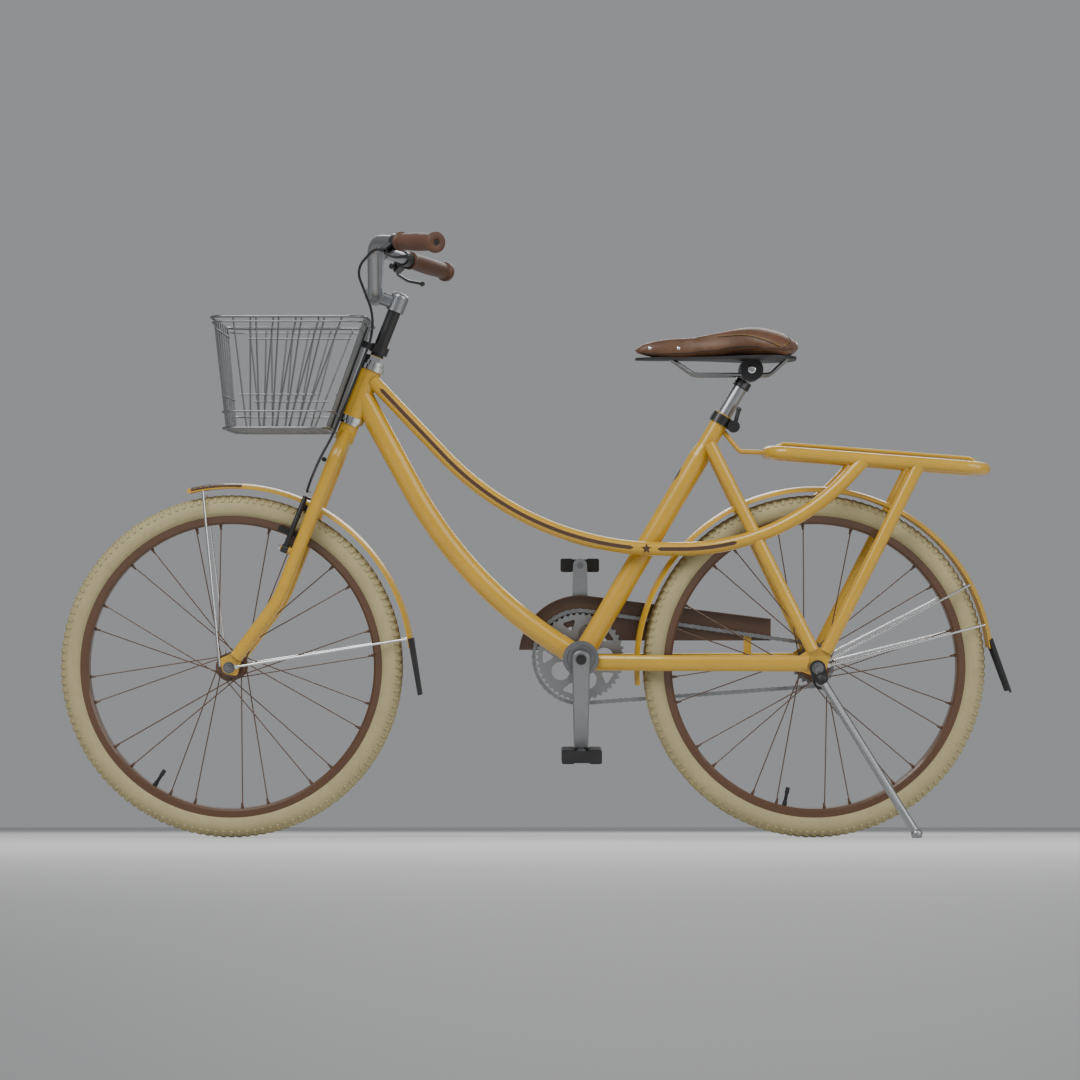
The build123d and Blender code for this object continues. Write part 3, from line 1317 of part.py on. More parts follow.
def build():
    rear_stays = fender_stays(
        REAR_AXLE, REAR_FENDER_R, (14, 28), REAR_DROPOUT_Y - 4, ((22, 4), (22, 14))
    )
    front_stays = fender_stays(
        FRONT_AXLE, FRONT_FENDER_R, (9, 99), FORK_DROPOUT_Y + 8.0, ((15, 2), (-17, 2))
    )
    arm = brake_arm()
    return {
        "head_tube": head_tube(),
        "down_tube": down_tube(),
        "top_tubes": top_tubes(),
        "seat_tube": seat_tube(),
        "chain_stays": chain_stays(),
        "seat_stays": seat_stays(),
        "rear_rack": rear_rack(),
        "headset_cups": headset_cups(),
        "bearing_balls": bearing_balls(),
        "bottom_bracket_cups": bottom_bracket_cups(),
        "seat_clamp": seat_clamp(),
        "rear_fender": fender(REAR_AXLE, REAR_FENDER_R, REAR_FENDER_ARC),
        "rear_mud_flap": mud_flap(REAR_AXLE, REAR_FENDER_R, REAR_FENDER_ARC, REAR_FLAP_TIP),
        "rear_fender_stays": rear_stays,
        "chain_guard": chain_guard(),
        "chain": chain(),
        "kickstand_bracket": kickstand_bracket(),
        "rear_axle": rear_axle(),
        "fork": fork(),
        "headset_races": headset_races(),
        "front_axle": front_axle(),
        "stem": stem(),
        "stem_quill": stem_quill(),
        "handlebar": handlebar(),
        "grips": grips(),
        "brake_lever_clamps": brake_lever_clamps(),
        "basket_rims": basket_rims(),
        "basket_wall_wires": basket_wall_wires(),
        "basket_floor_wires": basket_floor_wires(),
        "basket_bracket": basket_bracket(),
        "front_fender": fender(FRONT_AXLE, FRONT_FENDER_R, FRONT_FENDER_ARC),
        "front_mud_flap": mud_flap(FRONT_AXLE, FRONT_FENDER_R, FRONT_FENDER_ARC, FRONT_FLAP_TIP),
        "front_fender_stays": front_stays,
        "front_brake_cable": front_brake_cable(),
        "front_tyre": tyre(FRONT_AXLE),
        "front_rim": rim(FRONT_AXLE),
        "front_spokes": spokes(FRONT_AXLE, FRONT_FLANGE_Y),
        "front_hub": hub(FRONT_AXLE, FRONT_FLANGE_Y, FORK_DROPOUT_Y - APART, FRONT_AXLE_R),
        "rear_tyre": tyre(REAR_AXLE),
        "rear_rim": rim(REAR_AXLE),
        "rear_spokes": spokes(REAR_AXLE, REAR_FLANGE_Y),
        "rear_hub": hub(
            REAR_AXLE, REAR_FLANGE_Y, REAR_FLANGE_Y + 7, REAR_AXLE_R, HUB_BOSS_R, CHAIN_Y + 8
        ),
        "rear_sprocket": rear_sprocket(),
        "chainring": chainring(),
        "crank_arms": crank_arms(),
        "crank_spindle": crank_spindle(),
        "pedal_axles": [pedal_axle(-1), pedal_axle(1)],
        "left_pedal": pedal(-1),
        "right_pedal": pedal(1),
        "kickstand": kickstand(),
        "seatpost": seatpost(),
        "saddle_cover": saddle_cover(),
        "saddle_base": saddle_base(),
        "saddle_rails": saddle_rails(),
        "saddle_clamp": saddle_clamp(),
        "seat_clamp_lever": seat_clamp_lever(),
        "left_brake_lever": brake_lever(-1),
        "right_brake_lever": brake_lever(1),
        "left_brake_arm": arm,
        "right_brake_arm": mirrored(arm),
    }


def floor_lift():
    """How far a leaning tyre would sink if its axle kept to its arc."""
    return TYRE_R * (1 - cos(radians(LEAN)))


def placement():
    """Leans the bicycle to the left and puts the origin under its middle."""
    side_shift = BAR_END[2] * sin(radians(LEAN))
    middle = (REAR_FLAP_TIP[0] - WHEELBASE - WHEEL_R) / 2
    return Pos(-middle, side_shift, floor_lift()) * Rot(LEAN, 0, 0)


def solids_of(shape):
    shapes = shape if isinstance(shape, list) else [shape]
    return [solid for s in shapes for solid in s.solids()]


def main():
    os.makedirs("parts", exist_ok=True)
    place = placement()
    for name, shape in build().items():
        solids = [place * solid for solid in solids_of(shape)]
        node = solids[0] if len(solids) == 1 else Compound(children=solids)
        export_step(node, f"parts/{name}.step")


if __name__ == "__main__":
    main()
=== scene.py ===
"""Dresses a leaned town bicycle: tyres, chain, saddle, grips, decoration, small fittings and finishes."""

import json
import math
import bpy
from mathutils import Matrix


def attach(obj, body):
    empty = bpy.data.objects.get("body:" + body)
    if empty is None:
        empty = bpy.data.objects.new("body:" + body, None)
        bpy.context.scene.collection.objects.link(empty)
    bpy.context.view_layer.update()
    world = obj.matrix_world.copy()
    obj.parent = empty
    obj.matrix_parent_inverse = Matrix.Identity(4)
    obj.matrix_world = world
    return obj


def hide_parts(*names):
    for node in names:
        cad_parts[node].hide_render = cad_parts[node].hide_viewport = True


bl_info = {
    "name": "Town bicycle",
    "version": (1, 0, 0),
    "blender": (4, 5, 0),
    "location": "View3D > Sidebar > Bicycle",
    "description": "Models the soft and fine pieces of a town bicycle and gives every part its finish",
    "category": "Object",
}

import bmesh
import bpy
from bpy.props import FloatProperty, FloatVectorProperty, IntProperty, PointerProperty
from mathutils import Matrix, Vector
from mathutils.bvhtree import BVHTree

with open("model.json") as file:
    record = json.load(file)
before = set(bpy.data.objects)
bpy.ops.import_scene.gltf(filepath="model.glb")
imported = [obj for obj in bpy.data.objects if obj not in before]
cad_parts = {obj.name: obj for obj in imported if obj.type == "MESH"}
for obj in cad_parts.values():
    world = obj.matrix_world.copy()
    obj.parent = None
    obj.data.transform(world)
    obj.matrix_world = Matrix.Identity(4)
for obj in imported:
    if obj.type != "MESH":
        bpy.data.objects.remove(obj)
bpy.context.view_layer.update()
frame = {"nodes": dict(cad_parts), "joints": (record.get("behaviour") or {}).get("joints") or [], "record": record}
NODES = frame["nodes"]
JOINTS = {joint["name"]: joint for joint in frame["joints"]}

# ---------------------------------------------------------------- the bicycle's own axes


def joint_place(name):
    """A joint's point and axis in the row frame."""
    joint = JOINTS[name]
    return Vector(joint.get("pos_m") or (0, 0, 0)), Vector(joint["axis"]).normalized()


def axes(origin, x, y, z):
    """A matrix from its origin and its three unit axes."""
    matrix = Matrix((x, y, z)).transposed().to_4x4()
    matrix.translation = origin
    return matrix


def looking_along(origin, z, x_hint):
    """A matrix at a point, with a given z axis and its x axis as near as can be to a hint."""
    z = Vector(z).normalized()
    y = z.cross(Vector(x_hint)).normalized()
    return axes(Vector(origin), y.cross(z), y, z)


def bicycle_axes():
    """x to the rear, y to the chain side and z up the wheels' plane, from the rear axle."""
    rear, aside = joint_place("rear_wheel_spin")
    front, _ = joint_place("front_wheel_spin")
    along = (rear - front).normalized()
    return axes(rear, along, aside, along.cross(aside))


BICYCLE = bicycle_axes()
INTO_BICYCLE = BICYCLE.inverted()


def local_points(node, keep=None):
    """A CAD node's points on the bicycle's axes, or only those that pass a test."""
    points = [INTO_BICYCLE @ v.co for v in NODES[node].data.vertices]
    return [p for p in points if keep is None or keep(p)]


def local_box(node, keep=None):
    """A CAD node's lowest and highest corners on the bicycle's axes."""
    points = local_points(node, keep)
    low = Vector([min(p[i] for p in points) for i in range(3)])
    high = Vector([max(p[i] for p in points) for i in range(3)])
    return low, high


def local_joint(name):
    """A joint's point and axis on the bicycle's axes."""
    point, axis = joint_place(name)
    return INTO_BICYCLE @ point, (INTO_BICYCLE.to_3x3() @ axis).normalized()


# ---------------------------------------------------------------- sizes and colours


class BicycleSizes(bpy.types.PropertyGroup):
    """Sizes of the pieces that are modelled here."""

    tread_blocks: IntProperty(name="Tread blocks", description="Blocks in each row of a tyre's tread",
                              default=132, min=24)
    tread_height: FloatProperty(name="Tread height", description="How far the tread stands off the tyre",
                                default=0.0017, unit="LENGTH")
    tyre_wall: FloatProperty(name="Tyre wall", description="Thickness of the tyre's casing",
                             default=0.0032, unit="LENGTH")
    nipple_length: FloatProperty(name="Nipple length", description="Length of a spoke nipple",
                                 default=0.012, unit="LENGTH")
    ring_teeth: IntProperty(name="Chainring teeth", description="Teeth of the chainring", default=44, min=10)
    sprocket_teeth: IntProperty(name="Sprocket teeth", description="Teeth of the sprocket", default=20, min=8)
    chain_pitch: FloatProperty(name="Chain pitch", description="Distance from pin to pin",
                               default=0.0127, unit="LENGTH")
    stripe_width: FloatProperty(name="Stripe width", description="Width of the stripe on the top tubes",
                                default=0.0072, unit="LENGTH")
    seam_radius: FloatProperty(name="Seam radius", description="Radius of the saddle's seam cord",
                               default=0.0011, unit="LENGTH")
    cushion_swell: FloatProperty(name="Cushion swell", description="Furthest a point of the padding may move",
                                 default=0.006, unit="LENGTH")


def colour(name, description, value):
    return FloatVectorProperty(name=name, description=description, default=value, subtype="COLOR",
                               min=0.0, max=1.0)


class BicycleColours(bpy.types.PropertyGroup):
    """Base colours of the finishes, in scene linear values."""

    paint: colour("Paint", "Frame, fork, fenders and carrier", (0.58, 0.335, 0.02))
    brown: colour("Brown paint", "Rims, spokes, hubs and chain guard", (0.098, 0.045, 0.02))
    cream: colour("Cream rubber", "Tyres", (0.43, 0.375, 0.2))
    leather: colour("Leather", "Saddle", (0.115, 0.046, 0.016))
    grip: colour("Grip leather", "Grips", (0.088, 0.034, 0.014))
    steel: colour("Steel", "Chain, wires and axles", (0.24, 0.245, 0.25))
    alloy: colour("Alloy", "Cranks, stem, handlebar and stand", (0.34, 0.35, 0.36))
    chrome: colour("Chrome", "Headset and fender stays", (0.72, 0.73, 0.74))
    black: colour("Black", "Brakes, clamps, pedals and flaps", (0.012, 0.012, 0.013))
    decoration: colour("Decoration", "Stripes, star and fender band", (0.07, 0.03, 0.014))


# ---------------------------------------------------------------- mesh helpers


def path_matrix(start, end):
    """Places a shape of unit height, centred on its origin, between two points."""
    along = end - start
    turn = along.to_track_quat("Z", "Y").to_matrix().to_4x4()
    return Matrix.Translation((start + end) / 2) @ turn


def add_rod(bm, start, end, radius, far_radius=None, segments=16):
    """A round or tapered rod between two points."""
    far = radius if far_radius is None else far_radius
    bmesh.ops.create_cone(bm, cap_ends=True, segments=segments, radius1=radius, radius2=far,
                          depth=(end - start).length, matrix=path_matrix(start, end))


def add_lathe(bm, outline, at, steps=48, closed=True):
    """An outline of (radius, height) turned round the z axis of a matrix."""
    verts = [bm.verts.new((radius, 0, height)) for radius, height in outline]
    pairs = list(zip(verts, verts[1:]))
    if closed:
        pairs.append((verts[-1], verts[0]))
    edges = [bm.edges.new(pair) for pair in pairs]
    before = set(bm.verts) - set(verts)
    bmesh.ops.spin(bm, geom=verts + edges, cent=(0, 0, 0), axis=(0, 0, 1), angle=math.tau,
                   steps=steps, use_merge=True)
    made = [v for v in bm.verts if v not in before]
    bmesh.ops.remove_doubles(bm, verts=made, dist=1e-6)
    made = [v for v in bm.verts if v not in before]
    bmesh.ops.transform(bm, matrix=at, verts=made)
    return made


def add_block(bm, at, size):
    """A block of a given size at a matrix."""
    bmesh.ops.create_cube(bm, size=1.0, matrix=at @ Matrix.Diagonal((*size, 1.0)))


def add_hex_head(bm, at, across, height):
    """A hexagon bolt head with a slightly domed top, standing on a matrix's xy plane."""
    radius = across / math.sqrt(3)
    low = at @ Matrix.Translation((0, 0, height * 0.4))
    bmesh.ops.create_cone(bm, cap_ends=True, segments=6, radius1=radius, radius2=radius,
                          depth=height * 0.8, matrix=low)
    top = at @ Matrix.Translation((0, 0, height * 0.9))
    bmesh.ops.create_cone(bm, cap_ends=True, segments=18, radius1=radius * 0.86, radius2=radius * 0.7,
                          depth=height * 0.2, matrix=top)


def add_grid(bm, columns, rows, place):
    """A sheet of faces whose points a function of (u, v), both from 0 to 1, puts in place."""
    made = bmesh.ops.create_grid(bm, x_segments=columns, y_segments=rows, size=0.5)["verts"]
    for vert in made:
        vert.co = place(vert.co.x + 0.5, vert.co.y + 0.5)
    return made


def shade(bm, sharp_angle):
    """Smooth faces, with edges kept sharp past an angle."""
    limit = math.radians(sharp_angle)
    for face in bm.faces:
        face.smooth = True
    for edge in bm.edges:
        edge.smooth = len(edge.link_faces) == 2 and edge.calc_face_angle(0.0) < limit


def add_piece(name, bm, material, body, replaced=(), sharp_angle=40.0, outwards=True):
    """Turns a mesh drawn on the bicycle's axes into a finished piece that rides on a body."""
    if outwards:
        bmesh.ops.recalc_face_normals(bm, faces=bm.faces)
    shade(bm, sharp_angle)
    bmesh.ops.transform(bm, matrix=BICYCLE, verts=bm.verts)
    mesh = bpy.data.meshes.new(name)
    bm.to_mesh(mesh)
    bm.free()
    piece = bpy.data.objects.new(name, mesh)
    bpy.context.scene.collection.objects.link(piece)
    mesh.materials.append(material)
    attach(piece, body)
    if replaced:
        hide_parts(*replaced)
    return piece


def tube_mesh(points, radius, resolution=4, cyclic=False):
    """A round tube along a smooth curve through the neighbourhood of some points, as a mesh."""
    curve = bpy.data.curves.new("tube", "CURVE")
    curve.dimensions = "3D"
    curve.bevel_depth = radius
    curve.bevel_resolution = resolution
    curve.use_fill_caps = True
    spline = curve.splines.new("NURBS")
    spline.points.add(len(points) - 1)
    for target, point in zip(spline.points, points):
        target.co = (*point, 1.0)
    spline.order_u = 3
    spline.use_endpoint_u = not cyclic
    spline.use_cyclic_u = cyclic
    spline.resolution_u = 6
    holder = bpy.data.objects.new("tube", curve)
    bpy.context.scene.collection.objects.link(holder)
    mesh = bpy.data.meshes.new_from_object(holder)
    bpy.data.objects.remove(holder)
    bpy.data.curves.remove(curve)
    return mesh


def add_tube(bm, points, radius, resolution=4, cyclic=False):
    mesh = tube_mesh(points, radius, resolution, cyclic)
    bm.from_mesh(mesh)
    bpy.data.meshes.remove(mesh)


# ---------------------------------------------------------------- shader helpers


def new_material(name):
    material = bpy.data.materials.new(name)
    material.use_nodes = True
    return material, material.node_tree, material.node_tree.nodes["Principled BSDF"]


def node(tree, kind, inputs=None, **settings):
    """A shader node with its settings, and its sockets set to values or linked to other sockets."""
    made = tree.nodes.new(kind)
    for key, value in settings.items():
        setattr(made, key, value)
    for key, value in (inputs or {}).items():
        if isinstance(value, bpy.types.NodeSocket):
            tree.links.new(value, made.inputs[key])
        else:
            made.inputs[key].default_value = value
    return made


def object_coordinates(tree):
    return node(tree, "ShaderNodeTexCoord").outputs["Object"]


def noise_value(tree, vector, scale, detail=3.0, roughness=0.55):
    made = node(tree, "ShaderNodeTexNoise",
                {"Vector": vector, "Scale": scale, "Detail": detail, "Roughness": roughness})
    return made.outputs["Fac"]


def cell_distance(tree, vector, scale, feature="F1"):
    made = node(tree, "ShaderNodeTexVoronoi", {"Vector": vector, "Scale": scale}, feature=feature)
    return made.outputs["Distance"]


def ramp(tree, value, *stops):
    """A ramp of (position, colour) stops, as a colour."""
    made = node(tree, "ShaderNodeValToRGB", {"Fac": value})
    points = made.color_ramp.elements
    while len(points) < len(stops):
        points.new(0.5)
    for point, (position, shade_of) in zip(points, stops):
        point.position = position
        point.color = shade_of if len(shade_of) == 4 else (*shade_of, 1.0)
    return made.outputs["Color"]


def mix(tree, factor, first, second, blend="MIX"):
    made = node(tree, "ShaderNodeMix", data_type="RGBA", blend_type=blend)
    for key, value in ((0, factor), (6, first), (7, second)):
        if isinstance(value, bpy.types.NodeSocket):
            tree.links.new(value, made.inputs[key])
        elif key == 0:
            made.inputs[key].default_value = value
        else:
            made.inputs[key].default_value = value if len(value) == 4 else (*value, 1.0)
    return made.outputs[2]


def spread(tree, value, low, high):
    """Maps a value from 0..1 to a range."""
    made = node(tree, "ShaderNodeMapRange", {"Value": value, "To Min": low, "To Max": high})
    return made.outputs["Result"]


def bump(tree, height, strength, distance, normal=None):
    inputs = {"Height": height, "Strength": strength, "Distance": distance}
    if normal is not None:
        inputs["Normal"] = normal
    return node(tree, "ShaderNodeBump", inputs).outputs["Normal"]


def scaled(base, factor):
    return tuple(min(1.0, channel * factor) for channel in base[:3])


# ---------------------------------------------------------------- finishes


def paint_finish(name, base, roughness=0.32, coat=0.6, chips=0.0):
    """Enamel: a slow drift of tone, a fine ripple under a clear coat, and a few small chips."""
    material, tree, shader = new_material(name)
    where = object_coordinates(tree)
    drift = noise_value(tree, where, 9.0, 4.0)
    tone = mix(tree, drift, scaled(base, 0.86), scaled(base, 1.1))
    film = noise_value(tree, where, 42.0, 6.0, 0.65)
    tone = mix(tree, ramp(tree, film, (0.52, (0, 0, 0)), (0.8, (0.22, 0.22, 0.22))), tone, scaled(base, 0.62))
    if chips:
        cells = cell_distance(tree, where, 140.0)
        gate = noise_value(tree, where, 6.5, 2.0)
        chip = node(tree, "ShaderNodeMath", {0: gate, 1: 0.64}, operation="GREATER_THAN").outputs[0]
        spot = node(tree, "ShaderNodeMath", {0: cells, 1: chips}, operation="LESS_THAN").outputs[0]
        both = node(tree, "ShaderNodeMath", {0: chip, 1: spot}, operation="MULTIPLY").outputs[0]
        tone = mix(tree, both, tone, scaled(base, 0.18))
    tree.links.new(tone, shader.inputs["Base Color"])
    tree.links.new(spread(tree, film, roughness - 0.05, roughness + 0.12), shader.inputs["Roughness"])
    shader.inputs["Coat Weight"].default_value = coat
    shader.inputs["Coat Roughness"].default_value = 0.07
    ripple = noise_value(tree, where, 520.0, 2.0)
    tree.links.new(bump(tree, ripple, 0.06, 0.0004), shader.inputs["Normal"])
    return material


def metal_finish(name, base, roughness, grain=260.0, strength=0.08, tarnish=0.35):
    """Bare or plated metal with fine scratches and duller patches."""
    material, tree, shader = new_material(name)
    where = object_coordinates(tree)
    patches = noise_value(tree, where, 24.0, 5.0, 0.6)
    dull = ramp(tree, patches, (0.42, (0, 0, 0)), (0.74, (tarnish, tarnish, tarnish)))
    tree.links.new(mix(tree, dull, base, scaled(base, 0.55)), shader.inputs["Base Color"])
    tree.links.new(spread(tree, patches, roughness * 0.7, roughness * 1.5), shader.inputs["Roughness"])
    shader.inputs["Metallic"].default_value = 1.0
    stretched = node(tree, "ShaderNodeMapping", {"Vector": where, "Scale": (1.0, 1.0, 7.0)}).outputs[0]
    scratches = noise_value(tree, stretched, grain, 3.0, 0.7)
    tree.links.new(bump(tree, scratches, strength, 0.0003), shader.inputs["Normal"])
    return material


def rubber_finish(name, base, roughness=0.78, grain=900.0, dust=0.25):
    """Rubber or moulded plastic with a fine matt grain and a little dust."""
    material, tree, shader = new_material(name)
    where = object_coordinates(tree)
    patches = noise_value(tree, where, 14.0, 6.0, 0.62)
    dusty = ramp(tree, patches, (0.46, (0, 0, 0)), (0.78, (dust, dust, dust)))
    tone = mix(tree, dusty, base, scaled(tuple(0.35 * c + 0.1 for c in base[:3]), 1.0))
    tree.links.new(tone, shader.inputs["Base Color"])
    tree.links.new(spread(tree, patches, roughness - 0.1, min(1.0, roughness + 0.12)), shader.inputs["Roughness"])
    pores = noise_value(tree, where, grain, 3.0, 0.7)
    tree.links.new(bump(tree, pores, 0.16, 0.0004), shader.inputs["Normal"])
    return material


def tyre_finish(name, base):
    """Cream rubber: yellower and dirtier in blotches, with a fine woven look from the casing."""
    material, tree, shader = new_material(name)
    where = object_coordinates(tree)
    blotch = noise_value(tree, where, 11.0, 6.0, 0.6)
    tone = mix(tree, blotch, scaled(base, 0.8), scaled(base, 1.1))
    grime = ramp(tree, noise_value(tree, where, 55.0, 6.0, 0.7), (0.5, (0, 0, 0)), (0.8, (0.3, 0.3, 0.3)))
    tone = mix(tree, grime, tone, (0.25, 0.19, 0.1))
    tree.links.new(tone, shader.inputs["Base Color"])
    shader.inputs["Roughness"].default_value = 0.74
    shader.inputs["Specular IOR Level"].default_value = 0.35
    pores = noise_value(tree, where, 1100.0, 3.0, 0.7)
    waves = noise_value(tree, where, 150.0, 2.0, 0.5)
    soft = bump(tree, waves, 0.12, 0.0006)
    tree.links.new(bump(tree, pores, 0.18, 0.0003, soft), shader.inputs["Normal"])
    return material


def leather_finish(name, base, roughness=0.46):
    """Worn leather: pebbled grain, creases, and lighter rubbed places."""
    material, tree, shader = new_material(name)
    where = object_coordinates(tree)
    blotch = noise_value(tree, where, 19.0, 6.0, 0.62)
    tone = mix(tree, blotch, scaled(base, 0.62), scaled(base, 1.45))
    rubbed = ramp(tree, noise_value(tree, where, 8.0, 3.0), (0.5, (0, 0, 0)), (0.72, (0.5, 0.5, 0.5)))
    tone = mix(tree, rubbed, tone, scaled(base, 1.9))
    pebble = cell_distance(tree, where, 620.0)
    valley = ramp(tree, pebble, (0.25, (1, 1, 1)), (0.75, (0.72, 0.72, 0.72)))
    tone = mix(tree, 1.0, tone, valley, "MULTIPLY")
    tree.links.new(tone, shader.inputs["Base Color"])
    tree.links.new(spread(tree, blotch, roughness - 0.08, roughness + 0.14), shader.inputs["Roughness"])
    crease = noise_value(tree, where, 95.0, 6.0, 0.7)
    soft = bump(tree, crease, 0.22, 0.0012)
    tree.links.new(bump(tree, pebble, 0.3, 0.0005, soft), shader.inputs["Normal"])
    shader.inputs["Sheen Weight"].default_value = 0.08
    return material


def floor_finish(name):
    """Pale smooth studio floor with a barely seen mottling."""
    material, tree, shader = new_material(name)
    where = object_coordinates(tree)
    cloud = noise_value(tree, where, 3.0, 4.0)
    tree.links.new(mix(tree, cloud, (0.60, 0.60, 0.595), (0.66, 0.66, 0.655)), shader.inputs["Base Color"])
    shader.inputs["Roughness"].default_value = 0.6
    return material


FINISHES = {}


def finish(name):
    return FINISHES[name]


class BICYCLE_OT_finishes(bpy.types.Operator):
    """Make the finishes and give them to the parts that are kept as they are"""

    bl_idname = "bicycle.finishes"
    bl_label = "Finishes"

    def execute(self, context):
        tones = context.scene.bicycle_colours
        FINISHES.update(
            paint=paint_finish("yellow_enamel", tones.paint, chips=0.12),
            brown=paint_finish("brown_enamel", tones.brown, 0.36, 0.35),
            decoration=paint_finish("decoration_enamel", tones.decoration, 0.4, 0.4),
            dots=paint_finish("dot_enamel", scaled(tones.paint, 1.1), 0.35, 0.4),
            steel=metal_finish("grey_steel", tones.steel, 0.3),
            alloy=metal_finish("grey_alloy", tones.alloy, 0.34, 420.0, 0.05, 0.2),
            chrome=metal_finish("chrome", tones.chrome, 0.1, 500.0, 0.02, 0.15),
            chain=metal_finish("oiled_chain", scaled(tones.steel, 1.15), 0.26, 800.0, 0.1, 0.4),
            black_metal=paint_finish("black_enamel", tones.black, 0.34, 0.25),
            black_plastic=rubber_finish("black_plastic", tones.black, 0.5, 1500.0, 0.12),
            black_rubber=rubber_finish("black_rubber", tones.black, 0.72, 900.0, 0.2),
            cream=tyre_finish("cream_rubber", tones.cream),
            leather=leather_finish("saddle_leather", tones.leather),
            dark_leather=leather_finish("seam_leather", scaled(tones.leather, 0.35)),
            grip=leather_finish("grip_leather", tones.grip, 0.5),
        )
        by_slot = {
            "yellow_paint": "paint",
            "brown_paint": "brown",
            "chrome_parts": "chrome",
            "bearing_steel": "steel",
            "grey_steel": "steel",
            "grey_alloy": "alloy",
            "black_metal": "black_metal",
            "black_plastic": "black_plastic",
            "black_rubber": "black_rubber",
            "cream_tyre": "cream",
            "brown_leather": "grip",
        }
        for part in frame["record"]["subparts"]:
            mesh = NODES[part["node"]].data
            mesh.materials.clear()
            mesh.materials.append(finish(by_slot[part["material_slot"]]))
        return {"FINISHED"}


# ---------------------------------------------------------------- wheels


def wheel_place(end):
    """A matrix at a wheel's centre, with z along its axle."""
    centre, _ = local_joint(f"{end}_wheel_spin")
    return Matrix.Translation(centre) @ Matrix.Rotation(math.radians(-90), 4, "X")


def tyre_sizes(end):
    """The casing's ring radius and section radius, from the plain tyre."""
    low, high = local_box(f"{end}_tyre")
    section = (high.y - low.y) / 2
    return (high.z - low.z) / 2 - section, section


BEAD_ANGLE = 144
BEAD_LINE_ANGLE = 117
BEAD_LINE_HEIGHT = 0.0005


def add_casing(bm, place, ring, section, wall):
    """A horseshoe section turned into a tyre, with a raised line above the beads."""
    outer, inner = section, section - wall
    outline = []
    for degrees in range(-BEAD_ANGLE, BEAD_ANGLE + 1, 9):
        a = math.radians(degrees)
        lift = BEAD_LINE_HEIGHT if abs(degrees) == BEAD_LINE_ANGLE else 0.0
        outline.append((ring + (outer + lift) * math.cos(a), (outer + lift) * math.sin(a)))
    for degrees in range(BEAD_ANGLE, -BEAD_ANGLE - 1, -12):
        a = math.radians(degrees)
        outline.append((ring + inner * math.cos(a), inner * math.sin(a)))
    add_lathe(bm, outline, place, 160)


# Each row of tread: its lean round the section, the slant of its blocks, their length and their width.
TREAD_ROWS = (
    (0.0, 45.0, 0.0058, 0.0058),
    (17.0, 24.0, 0.0085, 0.0030),
    (-17.0, -24.0, 0.0085, 0.0030),
    (34.0, 34.0, 0.0080, 0.0034),
    (-34.0, -34.0, 0.0080, 0.0034),
    (50.0, 12.0, 0.0052, 0.0100),
    (-50.0, -12.0, 0.0052, 0.0100),
)


def add_tread(bm, place, ring, section, blocks, height):
    """Rows of slanted blocks: a middle rib of diamonds and three rows down each shoulder."""
    for row, (lean, slant, long, wide) in enumerate(TREAD_ROWS):
        for k in range(blocks):
            round_wheel = math.tau * (k + 0.5 * (row % 2)) / blocks
            at = (place @ Matrix.Rotation(round_wheel, 4, "Z") @ Matrix.Translation((ring, 0, 0))
                  @ Matrix.Rotation(math.radians(-lean), 4, "Y") @ Matrix.Translation((section, 0, 0))
                  @ Matrix.Rotation(math.radians(slant), 4, "X"))
            add_block(bm, at, (height * 2, long, wide))


class BICYCLE_OT_tyres(bpy.types.Operator):
    """Build both cream tyres with their tread"""

    bl_idname = "bicycle.tyres"
    bl_label = "Tyres"

    def execute(self, context):
        sizes = context.scene.bicycle_sizes
        for end in ("front", "rear"):
            ring, section = tyre_sizes(end)
            section -= sizes.tread_height
            bm = bmesh.new()
            add_casing(bm, wheel_place(end), ring, section, sizes.tyre_wall)
            add_tread(bm, wheel_place(end), ring, section, sizes.tread_blocks, sizes.tread_height)
            add_piece(f"{end}_tyre_tread", bm, finish("cream"), f"{end}_wheel",
                      [f"{end}_tyre"], 35.0)
        return {"FINISHED"}


def spoke_lines(end):
    """The wheel's centre, and the points at each spoke's outer end, grouped by their angle."""
    mesh = NODES[f"{end}_spokes"].data
    centre, _ = local_joint(f"{end}_wheel_spin")
    points = [INTO_BICYCLE @ v.co for v in mesh.vertices]
    outermost = max((Vector((p.x - centre.x, 0, p.z - centre.z))).length for p in points)
    ends = {}
    for p in points:
        flat = Vector((p.x - centre.x, 0, p.z - centre.z))
        if flat.length > outermost - 0.004:
            angle = round(math.degrees(math.atan2(flat.z, flat.x)))
            ends.setdefault(angle, []).append(p)
    return centre, ends


VALVE_ANGLES = {"front": 237.0, "rear": 258.0}


class BICYCLE_OT_nipples(bpy.types.Operator):
    """Add the spoke nipples and the valves"""

    bl_idname = "bicycle.nipples"
    bl_label = "Nipples and valves"

    def execute(self, context):
        length = context.scene.bicycle_sizes.nipple_length
        for end, valve_angle in VALVE_ANGLES.items():
            centre, groups = spoke_lines(end)
            tips = merge_close([sum(group, Vector()) / len(group) for group in groups.values()], 0.006)
            bm = bmesh.new()
            for tip in tips:
                inwards = (centre - tip).normalized()
                inwards.y = 0.0
                root = tip - inwards * 0.003
                collar = root + inwards * length * 0.45
                add_rod(bm, root, collar, 0.0030, 0.0030, 6)
                add_rod(bm, collar, root + inwards * length, 0.0026, 0.0019, 12)
            add_piece(f"{end}_nipples", bm, finish("brown"), f"{end}_wheel")
            add_valve(end, centre, math.radians(valve_angle))
        return {"FINISHED"}


def merge_close(points, reach):
    """Keeps one point of each cluster."""
    kept = []
    for point in points:
        if all((point - other).length > reach for other in kept):
            kept.append(point)
    return kept


